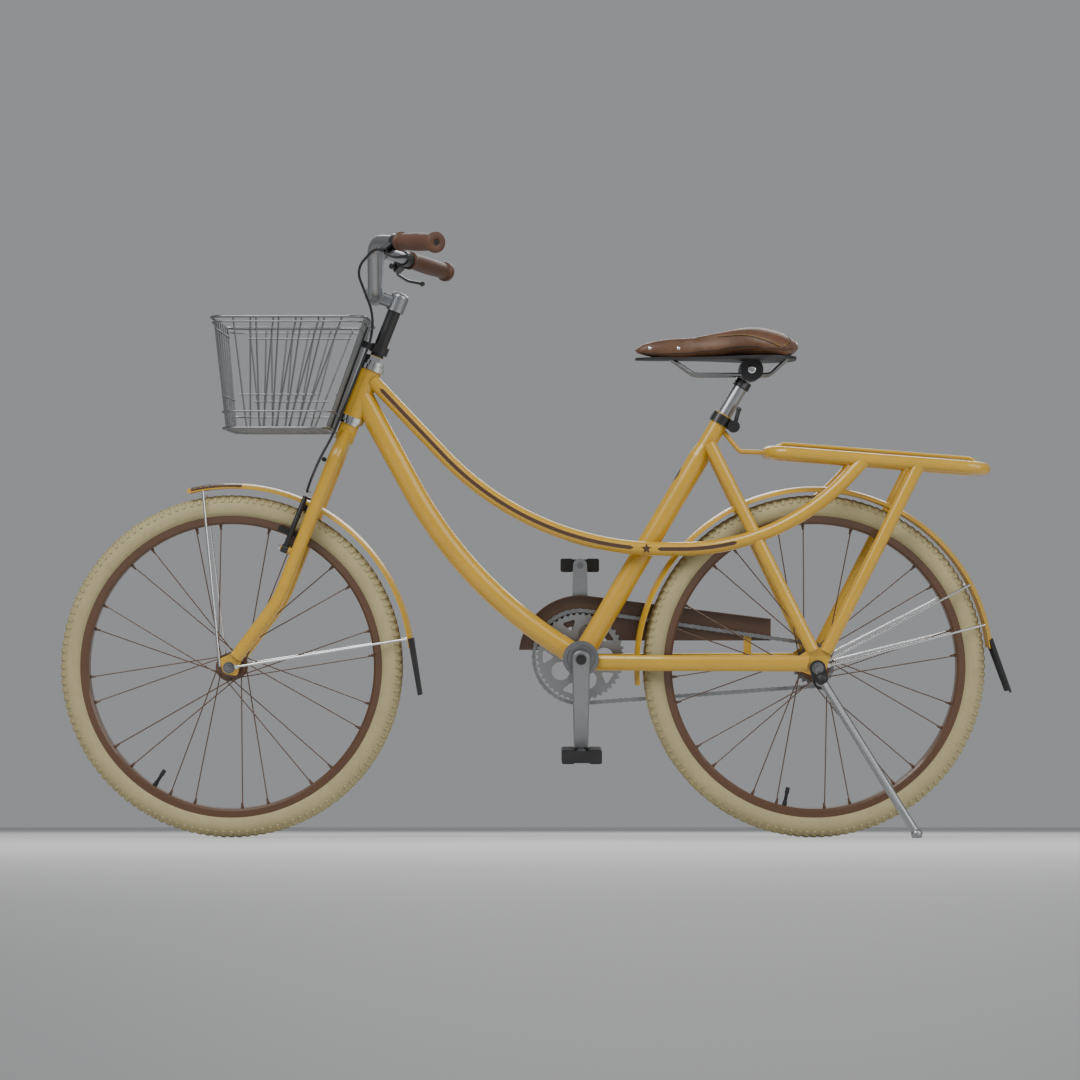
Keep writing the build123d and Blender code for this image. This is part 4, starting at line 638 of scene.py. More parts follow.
def add_valve(end, centre, angle):
    """A rubber base, a threaded stem and a cap."""
    low, high = local_box(f"{end}_rim")
    rim_edge = (high.z - low.z) / 2
    outwards = Vector((math.cos(angle), 0, math.sin(angle)))
    start = centre + outwards * (rim_edge - 0.015)
    bm = bmesh.new()
    add_rod(bm, start, start - outwards * 0.010, 0.0048, 0.0040, 20)
    add_rod(bm, start - outwards * 0.008, start - outwards * 0.026, 0.0030, 0.0030, 16)
    for k in range(5):
        thread = start - outwards * (0.012 + 0.0024 * k)
        add_rod(bm, thread, thread - outwards * 0.0011, 0.0034, 0.0034, 16)
    cap = start - outwards * 0.024
    add_rod(bm, cap, cap - outwards * 0.012, 0.0042, 0.0038, 12)
    add_piece(f"{end}_valve", bm, finish("black_rubber"), f"{end}_wheel")


# ---------------------------------------------------------------- chain


def chain_marks(sizes):
    """Roller centres round the loop as points, on the bicycle's axes."""
    crank, _ = local_joint("crank_spin")
    axle, _ = local_joint("sprocket_spin")
    band_low, band_high = local_box("chain")
    side = (band_low.y + band_high.y) / 2
    big = sizes.chain_pitch / (2 * math.sin(math.pi / sizes.ring_teeth))
    small = sizes.chain_pitch / (2 * math.sin(math.pi / sizes.sprocket_teeth))
    gap = math.hypot(axle.x - crank.x, axle.z - crank.z)
    tilt = math.atan2(axle.z - crank.z, axle.x - crank.x)
    lean = math.asin((big - small) / gap)
    run = gap * math.cos(lean)
    low, high = tilt - math.pi / 2 + lean, tilt + math.pi / 2 - lean
    wraps = (big * (math.tau - (high - low)), small * (high - low))
    total = 2 * run + sum(wraps)
    links = 2 * round(total / sizes.chain_pitch / 2)

    def on_circle(centre, radius, angle):
        return Vector((centre.x + radius * math.cos(angle), side, centre.z + radius * math.sin(angle)))

    def at(s):
        if s < wraps[0]:
            return on_circle(crank, big, high + s / big)
        s -= wraps[0]
        if s < run:
            return on_circle(crank, big, low).lerp(on_circle(axle, small, low), s / run)
        s -= run
        if s < wraps[1]:
            return on_circle(axle, small, low + s / small)
        s -= wraps[1]
        return on_circle(axle, small, high).lerp(on_circle(crank, big, high), s / run)

    return [at(k * total / links) for k in range(links)]


def add_link_plate(bm, first, second, y_low, y_high, radius):
    """One side plate: two round ends and a slightly pinched waist."""
    along = (second - first).normalized()
    up = Vector((0, 1, 0)).cross(along)
    outline = []
    for centre, start in ((second, -75), (first, 105)):
        for step in range(6):
            a = math.radians(start + step * 30)
            outline.append(centre + (along * math.cos(a) + up * math.sin(a)) * radius)
    waist = (first + second) / 2
    outline.insert(6, waist + up * radius * 0.72)
    outline.append(waist - up * radius * 0.72)
    face = bm.faces.new([bm.verts.new((p.x, first.y + y_low, p.z)) for p in outline])
    pushed = bmesh.ops.extrude_face_region(bm, geom=[face])["geom"]
    moved = [g for g in pushed if isinstance(g, bmesh.types.BMVert)]
    bmesh.ops.translate(bm, verts=moved, vec=(0, y_high - y_low, 0))


class BICYCLE_OT_chain(bpy.types.Operator):
    """Build the roller chain link by link"""

    bl_idname = "bicycle.chain"
    bl_label = "Chain"

    def execute(self, context):
        marks = chain_marks(context.scene.bicycle_sizes)
        bm = bmesh.new()
        for k, mark in enumerate(marks):
            following = marks[(k + 1) % len(marks)]
            inner, outer = (0.0017, 0.0025) if k % 2 else (0.0026, 0.0035)
            radius = 0.0043 if k % 2 else 0.0041
            add_link_plate(bm, mark, following, inner, outer, radius)
            add_link_plate(bm, mark, following, -outer, -inner, radius)
            reach = Vector((0, 0.0017, 0))
            add_rod(bm, mark - reach, mark + reach, 0.0036, 0.0036, 10)
            reach = Vector((0, 0.0041, 0))
            add_rod(bm, mark - reach, mark + reach, 0.0017, 0.0017, 8)
        add_piece("chain_links", bm, finish("chain"), "frame", ["chain"], 50.0)
        return {"FINISHED"}


# ---------------------------------------------------------------- saddle


def smooth_through(stops, s):
    """A smooth curve through (position, value) stops."""
    if s <= stops[0][0]:
        return stops[0][1]
    for k in range(len(stops) - 1):
        (x0, y0), (x1, y1) = stops[k], stops[k + 1]
        if s <= x1:
            before = stops[max(k - 1, 0)]
            after = stops[min(k + 2, len(stops) - 1)]
            slope0 = (y1 - before[1]) / (x1 - before[0])
            slope1 = (after[1] - y0) / (after[0] - x0)
            t = (s - x0) / (x1 - x0)
            h = x1 - x0
            return ((2 * t**3 - 3 * t**2 + 1) * y0 + (t**3 - 2 * t**2 + t) * h * slope0
                    + (3 * t**2 - 2 * t**3) * y1 + (t**3 - t**2) * h * slope1)
    return stops[-1][1]


# Shares of the saddle's length, half width and height, from nose to tail.
SADDLE_WIDTH = ((0.0, 0.07), (0.03, 0.19), (0.12, 0.26), (0.34, 0.30), (0.52, 0.46), (0.7, 0.83),
                (0.84, 0.99), (0.94, 0.86), (1.0, 0.42))
SADDLE_TOP = ((0.0, 0.30), (0.05, 0.50), (0.16, 0.60), (0.36, 0.64), (0.52, 0.80), (0.68, 0.95),
              (0.80, 0.93), (0.92, 0.74), (1.0, 0.40))
SADDLE_LOW = ((0.0, 0.16), (0.1, 0.03), (0.25, 0.0), (0.45, 0.08), (0.62, 0.17), (0.8, 0.06), (0.93, 0.02),
              (1.0, 0.16))


def saddle_space():
    """The room that the plain saddle fills."""
    return local_box("saddle_cover")


def saddle_point(s, around, inset=0.0):
    """A point of the saddle's skin: s from nose to tail, and an angle round its section."""
    low, high = saddle_space()
    length, tall = high.x - low.x, high.z - low.z
    wide = (high.y - low.y) / 2
    half = max(0.004, wide * smooth_through(SADDLE_WIDTH, s) - inset)
    top = low.z + tall * smooth_through(SADDLE_TOP, s) - inset
    bottom = low.z + tall * smooth_through(SADDLE_LOW, s) + inset * 0.3
    c, d = math.cos(around), math.sin(around)
    across = math.copysign(abs(c) ** 0.62, c)
    if d >= 0:
        z = bottom + (top - bottom) * (0.12 + 0.88 * abs(d) ** 0.86)
    else:
        z = bottom + (top - bottom) * 0.12 * (1 - abs(d) ** 0.5)
    return Vector((low.x + inset + (length - 2 * inset) * s, half * across, z))


def saddle_body(inset):
    """A closed skin of rings along the saddle, with rounded ends."""
    bm = bmesh.new()

    def place(u, v):
        s = 0.5 - 0.5 * math.cos(math.pi * u)
        return saddle_point(s, v * math.tau, inset)

    add_grid(bm, 44, 40, place)
    bmesh.ops.remove_doubles(bm, verts=bm.verts, dist=1e-5)
    openings = [e for e in bm.edges if len(e.link_faces) == 1]
    bmesh.ops.holes_fill(bm, edges=openings, sides=0)
    bmesh.ops.recalc_face_normals(bm, faces=bm.faces)
    bmesh.ops.triangulate(bm, faces=[f for f in bm.faces if len(f.verts) > 4])
    return bm


SKIN_VOXEL = 0.005
AIR_PRESSURE = 4.0
CLOTH_FRAMES = 20


def puff(mesh, limit):
    """Fills a closed skin with air as cloth, and moves no point further than a limit."""
    holder = bpy.data.objects.new("skin", mesh)
    bpy.context.scene.collection.objects.link(holder)
    remesh = holder.modifiers.new("Remesh", "REMESH")
    remesh.mode = "VOXEL"
    remesh.voxel_size = SKIN_VOXEL
    start = bpy.data.meshes.new_from_object(holder.evaluated_get(bpy.context.evaluated_depsgraph_get()))
    holder.modifiers.remove(remesh)
    holder.data = start
    rest = [v.co.copy() for v in start.vertices]
    cloth = holder.modifiers.new("Cloth", "CLOTH")
    cloth.settings.use_pressure = True
    cloth.settings.uniform_pressure_force = AIR_PRESSURE
    cloth.settings.effector_weights.gravity = 0.0
    scene = bpy.context.scene
    for step in range(1, CLOTH_FRAMES + 1):
        scene.frame_set(step)
    puffed = bpy.data.meshes.new_from_object(holder.evaluated_get(bpy.context.evaluated_depsgraph_get()))
    scene.frame_set(1)
    for vert, before in zip(puffed.vertices, rest):
        move = vert.co - before
        if move.length > limit:
            vert.co = before + move.normalized() * limit
    bpy.data.objects.remove(holder)
    return puffed


def saddle_cover_mesh(limit):
    bm = saddle_body(limit * 0.5)
    mesh = bpy.data.meshes.new("saddle_skin")
    bm.to_mesh(mesh)
    bm.free()
    return puff(mesh, limit)


class BICYCLE_OT_saddle(bpy.types.Operator):
    """Build the padded leather saddle with its seams, stitches and rivets"""

    bl_idname = "bicycle.saddle"
    bl_label = "Saddle"

    def execute(self, context):
        sizes = context.scene.bicycle_sizes
        bm = bmesh.new()
        bm.from_mesh(saddle_cover_mesh(sizes.cushion_swell))
        for _ in range(3):
            bmesh.ops.smooth_vert(bm, verts=bm.verts, factor=0.5, use_axis_x=True, use_axis_y=True,
                                  use_axis_z=True)
        surface = BVHTree.FromBMesh(bm)
        add_seams(surface, sizes)
        add_rivets(surface)
        piece = add_piece("saddle_padding", bm, finish("leather"), "saddle",
                          ["saddle_cover"], 80.0)
        subdivision = piece.modifiers.new("Subdivision", "SUBSURF")
        subdivision.levels = 1
        subdivision.render_levels = 1
        return {"FINISHED"}


def on_skin(surface, s, around, lift=0.0):
    """The nearest point of the finished skin, lifted along its normal."""
    point, normal, _, _ = surface.find_nearest(saddle_point(s, around))
    if normal.dot(saddle_point(s, around) - saddle_point(s, -math.pi / 2)) < 0:
        normal = -normal
    return point + normal * lift


def seam_lines(side):
    """Seams as (share of length, angle round the section) points: a long sweep and a tail panel."""

    def angle(degrees):
        return math.radians(degrees if side > 0 else 180 - degrees)

    sweep = [(0.50 + 0.36 * t, angle(62 - 54 * t)) for t in [k / 12 for k in range(13)]]
    tail = [(0.875 + 0.05 * math.sin(math.pi * t), angle(4 + 84 * t)) for t in [k / 10 for k in range(11)]]
    edge = [(0.03 + 0.93 * t, angle(1)) for t in [k / 30 for k in range(31)]]
    return {"sweep": sweep, "tail": tail, "edge": edge}


def add_seams(surface, sizes):
    """Cords along the seams, and stitches beside the two that show."""
    cords, stitches = bmesh.new(), bmesh.new()
    for side in (-1, 1):
        for name, line in seam_lines(side).items():
            points = [on_skin(surface, s, a, 0.0001) for s, a in line]
            add_tube(cords, points, sizes.seam_radius, 3)
            if name == "edge":
                continue
            for k in range(len(line) * 4 - 4):
                t = k / 4
                first, second = line[int(t)], line[int(t) + 1]
                s = first[0] + (second[0] - first[0]) * (t % 1)
                a = first[1] + (second[1] - first[1]) * (t % 1)
                here = on_skin(surface, s, a + 0.05 * side, 0.0004)
                ahead = on_skin(surface, s + (second[0] - first[0]) * 0.14,
                                a + (second[1] - first[1]) * 0.14 + 0.05 * side, 0.0004)
                add_rod(stitches, here, ahead, 0.0004, 0.0004, 6)
    add_piece("saddle_seams", cords, finish("dark_leather"), "saddle")
    add_piece("saddle_stitches", stitches, finish("dots"), "saddle")


def add_rivets(surface):
    """Two domed rivets near the nose on each side, and three across the tail."""
    bm = bmesh.new()
    places = [(0.11, 30), (0.11, 150), (0.28, 26), (0.28, 154), (0.975, 60), (0.985, 90), (0.975, 120)]
    for s, degrees in places:
        base = on_skin(surface, s, math.radians(degrees))
        _, normal, _, _ = surface.find_nearest(base)
        if normal.dot(base - saddle_point(s, -math.pi / 2)) < 0:
            normal = -normal
        at = looking_along(base, normal, (1, 0, 0.01))
        outline = [(0.0, 0.0022), (0.0018, 0.0019), (0.0034, 0.0011), (0.0042, 0.0), (0.0042, -0.001),
                   (0.0, -0.001)]
        add_lathe(bm, outline, at, 20)
    add_piece("saddle_rivets", bm, finish("chrome"), "saddle")


# ---------------------------------------------------------------- grips and bars


def long_axis(points):
    """The ends of a straight piece: its middle line between its two furthest slices."""
    first = points[0]
    far = max(points, key=lambda p: (p - first).length_squared)
    near = max(points, key=lambda p: (p - far).length_squared)
    direction = (far - near).normalized()
    for _ in range(4):
        offsets = [(p - near).dot(direction) for p in points]
        low, high = min(offsets), max(offsets)
        band = (high - low) * 0.12
        start = [p for p, o in zip(points, offsets) if o < low + band]
        end = [p for p, o in zip(points, offsets) if o > high - band]
        a = sum(start, Vector()) / len(start)
        b = sum(end, Vector()) / len(end)
        direction = (b - a).normalized()
    offsets = [(p - a).dot(direction) for p in points]
    return a + direction * min(offsets), a + direction * max(offsets)


class BICYCLE_OT_grips(bpy.types.Operator):
    """Build the two leather grips with their end rings and plugs"""

    bl_idname = "bicycle.grips"
    bl_label = "Grips"

    def execute(self, context):
        bm, plugs = bmesh.new(), bmesh.new()
        for side in (-1, 1):
            a, b = long_axis(local_points("grips", lambda p: p.y * side > 0))
            if abs(a.y) < abs(b.y):
                a, b = b, a
            at = looking_along(a, b - a, (0, 0, 1))
            add_grip(bm, at, (b - a).length)
            add_lathe(plugs, [(0.0, 0.0014), (0.0055, 0.0014), (0.0055, 0.0026), (0.0, 0.0026)], at, 28)
        add_piece("leather_grips", bm, finish("grip"), "steering", ["grips"], 50.0)
        add_piece("grip_plugs", plugs, finish("black_rubber"), "steering")
        return {"FINISHED"}


GRIP_BORE = 0.0113
GRIP_SLEEVE = 0.0155


def add_grip(bm, at, length):
    """A turned sleeve, fuller at both ends, with a soft swell for the palm and a ringed end."""
    bore, sleeve = GRIP_BORE, GRIP_SLEEVE
    outline = [(bore, length)]
    outline += [(sleeve + 0.0018, length), (sleeve + 0.0026, length - 0.0014),
                (sleeve + 0.0026, length - 0.0042), (sleeve + 0.0016, length - 0.0056)]
    turns = 26
    for k in range(turns + 1):
        share = 1 - k / turns
        swell = 0.0012 * math.sin(math.pi * share) ** 2
        groove = -0.0005 if k % 2 else 0.0
        outline.append((sleeve + swell + groove, 0.012 + (length - 0.019) * share))
    outline += [(sleeve + 0.0014, 0.0105), (sleeve + 0.0034, 0.0095), (sleeve + 0.0038, 0.007),
                (sleeve + 0.0034, 0.0015), (sleeve + 0.0015, 0.0), (0.0066, 0.0), (0.0056, 0.0008),
                (0.0054, 0.0028), (bore, 0.0028)]
    add_lathe(bm, outline, at, 56)


# ---------------------------------------------------------------- decoration

# The top tubes' line in a side view, from the head tube to the carrier, measured from the rear axle.
TUBE_CORNERS = ((-0.838, 0.543), (-0.534, 0.223), (-0.068, 0.223), (0.088, 0.390))
TUBE_BENDS = (0.569, 0.430)
TUBE_SPREAD = (0.010, 0.058)


def rounded_path(corners, bends):
    """A function of length along straight runs joined by arcs, and its whole length."""
    points = [Vector(corner) for corner in corners]
    parts, last = [], points[0]
    for k, bend in enumerate(bends, start=1):
        before = (points[k] - points[k - 1]).normalized()
        after = (points[k + 1] - points[k]).normalized()
        turn = before.angle(after)
        cut = bend * math.tan(turn / 2)
        start, end = points[k] - before * cut, points[k] + after * cut
        parts.append(("run", last, start, (start - last).length))
        parts.append(("arc", start, (before, turn, bend), bend * turn))
        last = end
    parts.append(("run", last, points[-1], (points[-1] - last).length))

    def at(length):
        for kind, start, end, span in parts:
            if length <= span or (kind, start) == (parts[-1][0], parts[-1][1]):
                if kind == "run":
                    way = (end - start).normalized()
                    return start + way * length, way
                before, _, bend = end
                normal = Vector((-before.y, before.x))
                a = length / bend
                centre = start + normal * bend
                way = before * math.cos(a) + normal * math.sin(a)
                return centre - Vector((-way.y, way.x)) * bend, way
            length -= span
        raise ValueError("past the end of the path")

    return at, sum(part[3] for part in parts)


def tube_radius():
    """The top tubes' radius, from their spread at the rear end."""
    low, high = local_box("top_tubes")
    return high.y - TUBE_SPREAD[1]


def add_stripe(bm, side, start, end, width, lift):
    """A strip laid on the outer side of a top tube between two places along it."""
    at, _ = rounded_path(TUBE_CORNERS, TUBE_BENDS)
    radius = tube_radius() + lift
    x_front, x_rear = TUBE_CORNERS[0][0], TUBE_CORNERS[-1][0]

    def place(u, v):
        length = start + (end - start) * u
        taper = min(1.0, math.sqrt(max(0.0, min(u, 1 - u) * (end - start) / (width * 0.5))))
        angle = (v - 0.5) * width * taper / radius
        point, way = at(length)
        y = TUBE_SPREAD[0] + (TUBE_SPREAD[1] - TUBE_SPREAD[0]) * (point.x - x_front) / (x_rear - x_front)
        up = Vector((-way.y, 0, way.x))
        centre = Vector((point.x, side * y, point.y))
        return centre + up * radius * math.sin(angle) + Vector((0, side * radius * math.cos(angle), 0))

    add_grid(bm, max(8, int((end - start) / 0.006)), 6, place)


def star_outline(radius, points=5, depth=0.42):
    outline = []
    for k in range(points * 2):
        reach = radius if k % 2 == 0 else radius * depth
        a = math.pi / 2 + math.pi * k / points
        outline.append((reach * math.cos(a), reach * math.sin(a)))
    return outline


def add_flat_shape(bm, outline, at, thickness):
    """A flat outline pushed out along a matrix's z axis."""
    face = bm.faces.new([bm.verts.new((x, y, 0)) for x, y in outline])
    pushed = bmesh.ops.extrude_face_region(bm, geom=[face])["geom"]
    verts = [g for g in pushed if isinstance(g, bmesh.types.BMVert)]
    bmesh.ops.translate(bm, verts=verts, vec=(0, 0, thickness))
    whole = list(face.verts) + verts
    bmesh.ops.transform(bm, matrix=at, verts=whole)


class BICYCLE_OT_decoration(bpy.types.Operator):
    """Lay on the stripes, the stars, the fender band and the seat tube badge"""

    bl_idname = "bicycle.decoration"
    bl_label = "Decoration"

    def execute(self, context):
        width = context.scene.bicycle_sizes.stripe_width
        at, total = rounded_path(TUBE_CORNERS, TUBE_BENDS)
        cross = next(k / 500 * total for k in range(500) if at(k / 500 * total)[0].x > -0.320)
        bm = bmesh.new()
        for side in (-1, 1):
            add_stripe(bm, side, 0.022, cross - 0.024, width, 0.00025)
            add_stripe(bm, side, cross + 0.020, cross + 0.172, width, 0.00025)
        star_centre, way = at(cross)
        spread_here = (star_centre.x - TUBE_CORNERS[0][0]) / (TUBE_CORNERS[-1][0] - TUBE_CORNERS[0][0])
        y = TUBE_SPREAD[0] + (TUBE_SPREAD[1] - TUBE_SPREAD[0]) * spread_here + tube_radius()
        for side in (-1, 1):
            place = looking_along((star_centre.x, side * (y - 0.0012), star_centre.y), (0, side, 0), (1, 0, 0))
            add_flat_shape(bm, star_outline(0.010), place, 0.0018)
        add_piece("tube_stripes", bm, finish("decoration"), "frame", sharp_angle=60.0,
                  outwards=False)
        add_fender_band()
        add_badge()
        return {"FINISHED"}


FENDER_HALF = 0.025
FENDER_SAG = 0.009
FENDER_BAND_ARC = (86.5, 102.8)


def fender_height(side_share, radius):
    """Radius of a fender's bowed top at a share of its half width."""
    bow = (FENDER_HALF ** 2 + FENDER_SAG ** 2) / (2 * FENDER_SAG)
    y = side_share * FENDER_HALF
    return radius - (bow - math.sqrt(bow * bow - y * y))


def fender_radius():
    """The front fender's outer radius at its middle, from its highest point."""
    _, high = local_box("front_fender")
    centre, _ = local_joint("front_wheel_spin")
    return high.z - centre.z


def add_fender_band():
    """A dark band with plain dots round the front end of the front fender."""
    centre, _ = local_joint("front_wheel_spin")
    radius = fender_radius()
    band, dots = bmesh.new(), bmesh.new()
    start, end = (math.radians(angle) for angle in FENDER_BAND_ARC)

    def over(share, angle, lift):
        reach = fender_height(share, radius) + lift
        return centre + Vector((reach * math.cos(angle), share * FENDER_HALF, reach * math.sin(angle)))

    add_grid(band, 24, 16, lambda u, v: over((v - 0.5) * 1.9, start + (end - start) * u, 0.0003))
    for k in range(8):
        angle = start + (end - start) * (k + 0.6) / 8.2
        for share in (-0.72, 0.72):
            here = over(share, angle, 0.0004)
            outwards = (over(share, angle, 0.002) - here).normalized()
            at = looking_along(here, outwards, (1, 0, 0.01))
            add_lathe(dots, [(0.0, 0.0006), (0.0022, 0.0005), (0.0026, 0.0), (0.0, -0.0002)], at, 16)
    add_piece("fender_band", band, finish("decoration"), "steering", outwards=False)
    add_piece("fender_dots", dots, finish("dots"), "steering")


BADGE_R = 0.0202


def add_badge():
    """A small plain leaf-shaped badge on the front of the seat tube."""
    seat, way = local_joint("seatpost_slide")
    rear = way.cross(Vector((0, -1, 0)))
    bm = bmesh.new()

    def place(u, v):
        leaf = math.sin(math.pi * u) ** 0.7
        angle = (v - 0.5) * 1.1 * leaf
        base = seat - way * (0.160 - 0.034 * u)
        return base - rear * BADGE_R * math.cos(angle) + Vector((0, BADGE_R * math.sin(angle), 0))

    add_grid(bm, 16, 10, place)
    add_piece("seat_tube_badge", bm, finish("decoration"), "frame", outwards=False)


# ---------------------------------------------------------------- small fittings


class BICYCLE_OT_fittings(bpy.types.Operator):
    """Add the small bolts, caps and boots"""

    bl_idname = "bicycle.fittings"
    bl_label = "Small fittings"

    def execute(self, context):
        add_brake_bolts()
        add_cable_boot()
        add_seat_clamp_caps()
        add_seatpost_head()
        add_crank_caps()
        add_stay_bolts()
        add_stand_cap()
        return {"FINISHED"}


def add_brake_bolts():
    """The pivot bolt of each brake arm."""
    for side in ("left", "right"):
        pivot, axis = local_joint(f"{side}_brake_arm_close")
        forwards = -axis if axis.x > 0 else axis
        bm = bmesh.new()
        at = looking_along(pivot + forwards * 0.0085, forwards, (0, 0, 1))
        add_hex_head(bm, at, 0.009, 0.004)
        add_piece(f"{side}_brake_pivot_bolt", bm, finish("chrome"), "steering")


def add_cable_boot():
    """The ribbed rubber boot over the bare wire between the two brake arms."""
    points = local_points("front_brake_cable", lambda p: abs(p.y) < 0.0345 and p.x < -0.9)
    ends = [min(points, key=lambda p: p.y), max(points, key=lambda p: p.y)]
    middle = (ends[0] + ends[1]) / 2
    bm = bmesh.new()
    folds = 7
    outline = [(0.0011, -0.011)]
    for k in range(folds):
        z = -0.010 + 0.020 * k / folds
        outline += [(0.0026, z), (0.0042, z + 0.0014)]
    outline += [(0.0026, 0.0105), (0.0011, 0.011)]
    add_lathe(bm, outline, looking_along(middle, (0, 1, 0), (0, 0, 1)), 24)
    add_piece("cable_boot", bm, finish("black_rubber"), "steering")


def add_seat_clamp_caps():
    """A ringed socket screw on each side of the saddle clamp."""
    centre, axis = local_joint("saddle_tilt")
    low, high = local_box("saddle_clamp")
    bm = bmesh.new()
    for side in (-1, 1):
        face = side * max(abs(low.y), abs(high.y))
        at = looking_along((centre.x, face, centre.z), (0, side, 0), (0, 0, 1))
        ring = [(0.0075, 0.0), (0.0075, 0.0024), (0.0064, 0.0032), (0.0042, 0.0032), (0.0038, 0.0010),
                (0.0, 0.0010), (0.0, 0.0)]
        add_lathe(bm, ring, at, 28)
    add_piece("seat_clamp_screws", bm, finish("chrome"), "saddle")


def add_seatpost_head():
    """The black sleeve between the bright post and the saddle clamp, with a rim at its foot."""
    centre, _ = local_joint("saddle_tilt")
    _, way = local_joint("seatpost_slide")
    at = looking_along(centre, way if way.z > 0 else -way, (1, 0, 0))
    sleeve = [(0.0140, -0.0395), (0.0160, -0.0390), (0.0166, -0.0376), (0.0160, -0.0362),
              (0.0160, -0.0250), (0.0150, -0.0237), (0.0092, -0.0237), (0.0092, -0.0300)]
    bm = bmesh.new()
    add_lathe(bm, sleeve, at, 40)
    add_piece("seatpost_head", bm, finish("black_metal"), "seatpost")


def add_crank_caps():
    """A dished cap with a rim over each end of the crank spindle."""
    centre, _ = local_joint("crank_spin")
    low, high = local_box("crank_spindle")
    cap = [(0.0, 0.0006), (0.0052, 0.0006), (0.0062, 0.0020), (0.0088, 0.0020), (0.0096, 0.0010),
           (0.0096, -0.0004), (0.0, -0.0004)]
    bm = bmesh.new()
    for face, side in ((low.y, -1), (high.y, 1)):
        add_lathe(bm, cap, looking_along((centre.x, face, centre.z), (0, side, 0), (0, 0, 1)), 32)
    add_piece("crank_caps", bm, finish("black_metal"), "crank")


def add_stay_bolts():
    """A bolt through the lower eye of the fender stays on each side of each wheel."""
    for end, body in (("front", "steering"), ("rear", "frame")):
        centre, _ = local_joint(f"{end}_wheel_spin")
        bm = bmesh.new()
        for side in (-1, 1):
            points = local_points(f"{end}_fender_stays", lambda p: p.y * side > 0)
            nearest = min(points, key=lambda p: math.hypot(p.x - centre.x, p.z - centre.z))
            outside = max(abs(p.y) for p in points if (p - nearest).length < 0.012)
            place = (nearest.x, side * outside, nearest.z)
            add_hex_head(bm, looking_along(place, (0, side, 0), (0, 0, 1)), 0.008, 0.0035)
        add_piece(f"{end}_stay_bolts", bm, finish("chrome"), body)


def add_stand_cap():
    """The round black cap over the kickstand's pivot."""
    pivot, axis = local_joint("kickstand_swing")
    outwards = axis if axis.y < 0 else -axis
    bm = bmesh.new()
    at = looking_along(pivot + outwards * 0.0088, outwards, (0, 0, 1))
    dome = [(0.0, 0.0085), (0.0045, 0.0080), (0.0088, 0.0060), (0.0114, 0.0028), (0.0120, 0.0), (0.0, 0.0)]
    add_lathe(bm, dome, at, 32)
    add_piece("kickstand_cap", bm, finish("black_plastic"), "kickstand")


# ---------------------------------------------------------------- stage


def add_area_light(name, size, energy, place, target):
    data = bpy.data.lights.new(name, "AREA")
    data.shape = "RECTANGLE"
    data.size, data.size_y = size
    data.energy = energy
    light = bpy.data.objects.new(name, data)
    light.matrix_world = looking_along(place, place - target, (1, 0, 0.001))
    bpy.context.scene.collection.objects.link(light)


CAMERA_LENS = 90.0
CAMERA_DISTANCE = 5.13


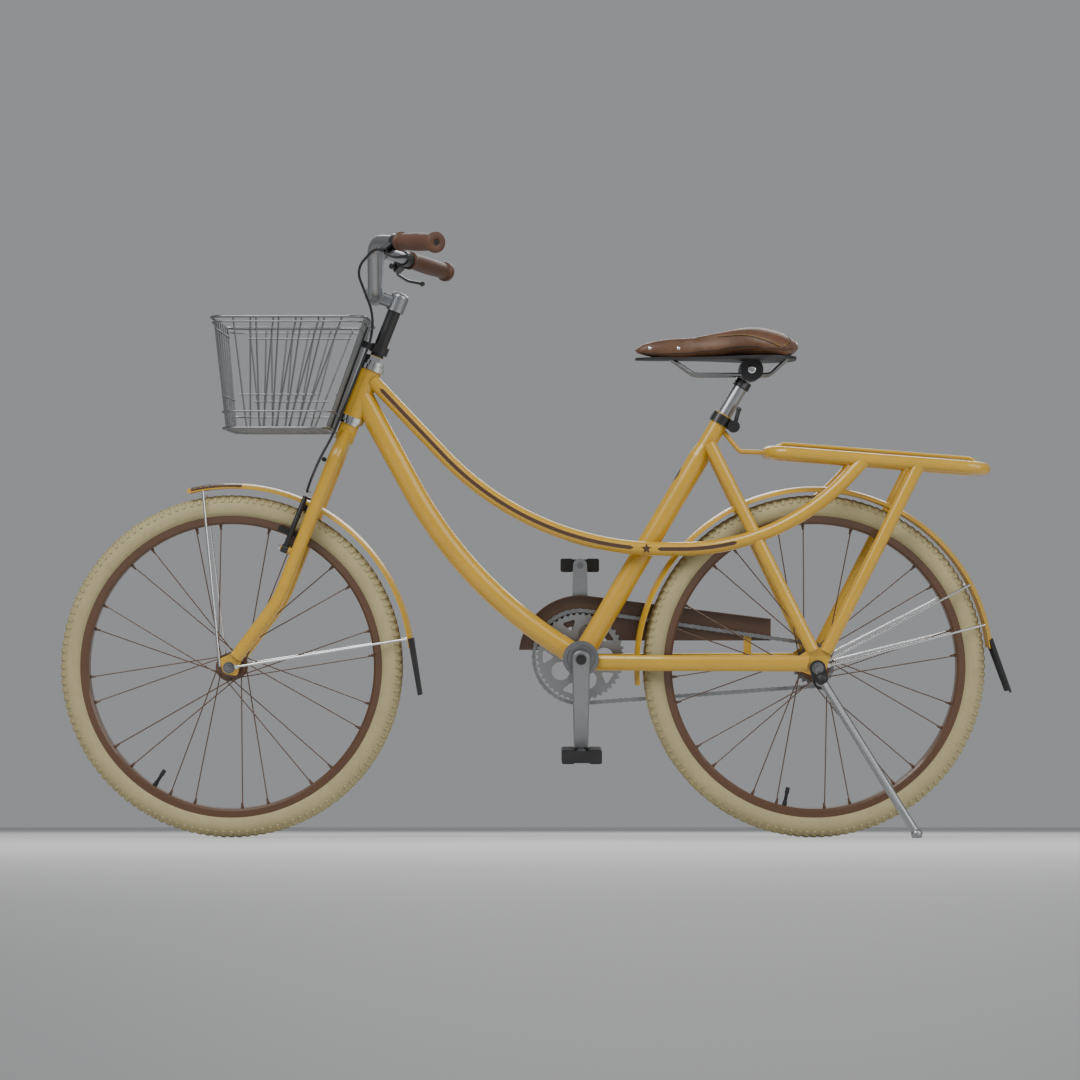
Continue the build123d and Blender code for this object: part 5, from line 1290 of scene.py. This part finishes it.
class BICYCLE_OT_stage(bpy.types.Operator):
    """Set out the floor, the lights and the camera"""

    bl_idname = "bicycle.stage"
    bl_label = "Stage"

    def execute(self, context):
        bm = bmesh.new()
        bmesh.ops.create_grid(bm, x_segments=2, y_segments=2, size=14.0)
        mesh = bpy.data.meshes.new("studio_floor")
        bm.to_mesh(mesh)
        bm.free()
        floor = bpy.data.objects.new("studio_floor", mesh)
        mesh.materials.append(floor_finish("studio_floor"))
        bpy.context.scene.collection.objects.link(floor)
        world = bpy.data.worlds.new("studio")
        world.use_nodes = True
        world.node_tree.nodes["Background"].inputs["Color"].default_value = (0.80, 0.82, 0.85, 1)
        world.node_tree.nodes["Background"].inputs["Strength"].default_value = 0.36
        context.scene.world = world
        middle = BICYCLE @ Vector((-0.52, 0, 0.24))
        add_area_light("key_light", (2.4, 1.8), 95.0, middle + Vector((-1.3, -2.2, 2.3)), middle)
        add_area_light("fill_light", (2.6, 2.0), 42.0, middle + Vector((2.4, -1.9, 1.1)), middle)
        add_area_light("back_light", (3.0, 1.4), 60.0, middle + Vector((0.4, 2.6, 2.2)), middle)
        self.add_camera(context, middle)
        return {"FINISHED"}

    def add_camera(self, context, middle):
        """Looks square at the left side of the leaned bicycle."""
        data = bpy.data.cameras.new("camera")
        data.lens = CAMERA_LENS
        data.sensor_width = 36.0
        camera = bpy.data.objects.new("camera", data)
        aside = BICYCLE.to_3x3() @ Vector((0, -1, 0))
        camera.matrix_world = looking_along(middle + aside * CAMERA_DISTANCE, aside, (1, 0, 0))
        context.scene.collection.objects.link(camera)
        context.scene.camera = camera


# ---------------------------------------------------------------- add-on

STEPS = (
    BICYCLE_OT_finishes,
    BICYCLE_OT_tyres,
    BICYCLE_OT_nipples,
    BICYCLE_OT_chain,
    BICYCLE_OT_saddle,
    BICYCLE_OT_grips,
    BICYCLE_OT_decoration,
    BICYCLE_OT_fittings,
    BICYCLE_OT_stage,
)


class BICYCLE_PT_panel(bpy.types.Panel):
    """Lists the pieces in the sidebar"""

    bl_idname = "BICYCLE_PT_panel"
    bl_label = "Town bicycle"
    bl_space_type = "VIEW_3D"
    bl_region_type = "UI"
    bl_category = "Bicycle"

    def draw(self, context):
        for step in STEPS:
            self.layout.operator(step.bl_idname)
        for group in (context.scene.bicycle_sizes, context.scene.bicycle_colours):
            for key in group.bl_rna.properties.keys():
                if key not in ("rna_type", "name"):
                    self.layout.prop(group, key)


CLASSES = (BicycleSizes, BicycleColours, *STEPS, BICYCLE_PT_panel)


def register():
    for item in CLASSES:
        bpy.utils.register_class(item)
    bpy.types.Scene.bicycle_sizes = PointerProperty(type=BicycleSizes)
    bpy.types.Scene.bicycle_colours = PointerProperty(type=BicycleColours)


def unregister():
    del bpy.types.Scene.bicycle_colours
    del bpy.types.Scene.bicycle_sizes
    for item in reversed(CLASSES):
        bpy.utils.unregister_class(item)


def main():
    register()
    for step in STEPS:
        group, action = step.bl_idname.split(".")
        getattr(getattr(bpy.ops, group), action)()
    bpy.context.view_layer.update()


if __name__ == "__main__":
    main()
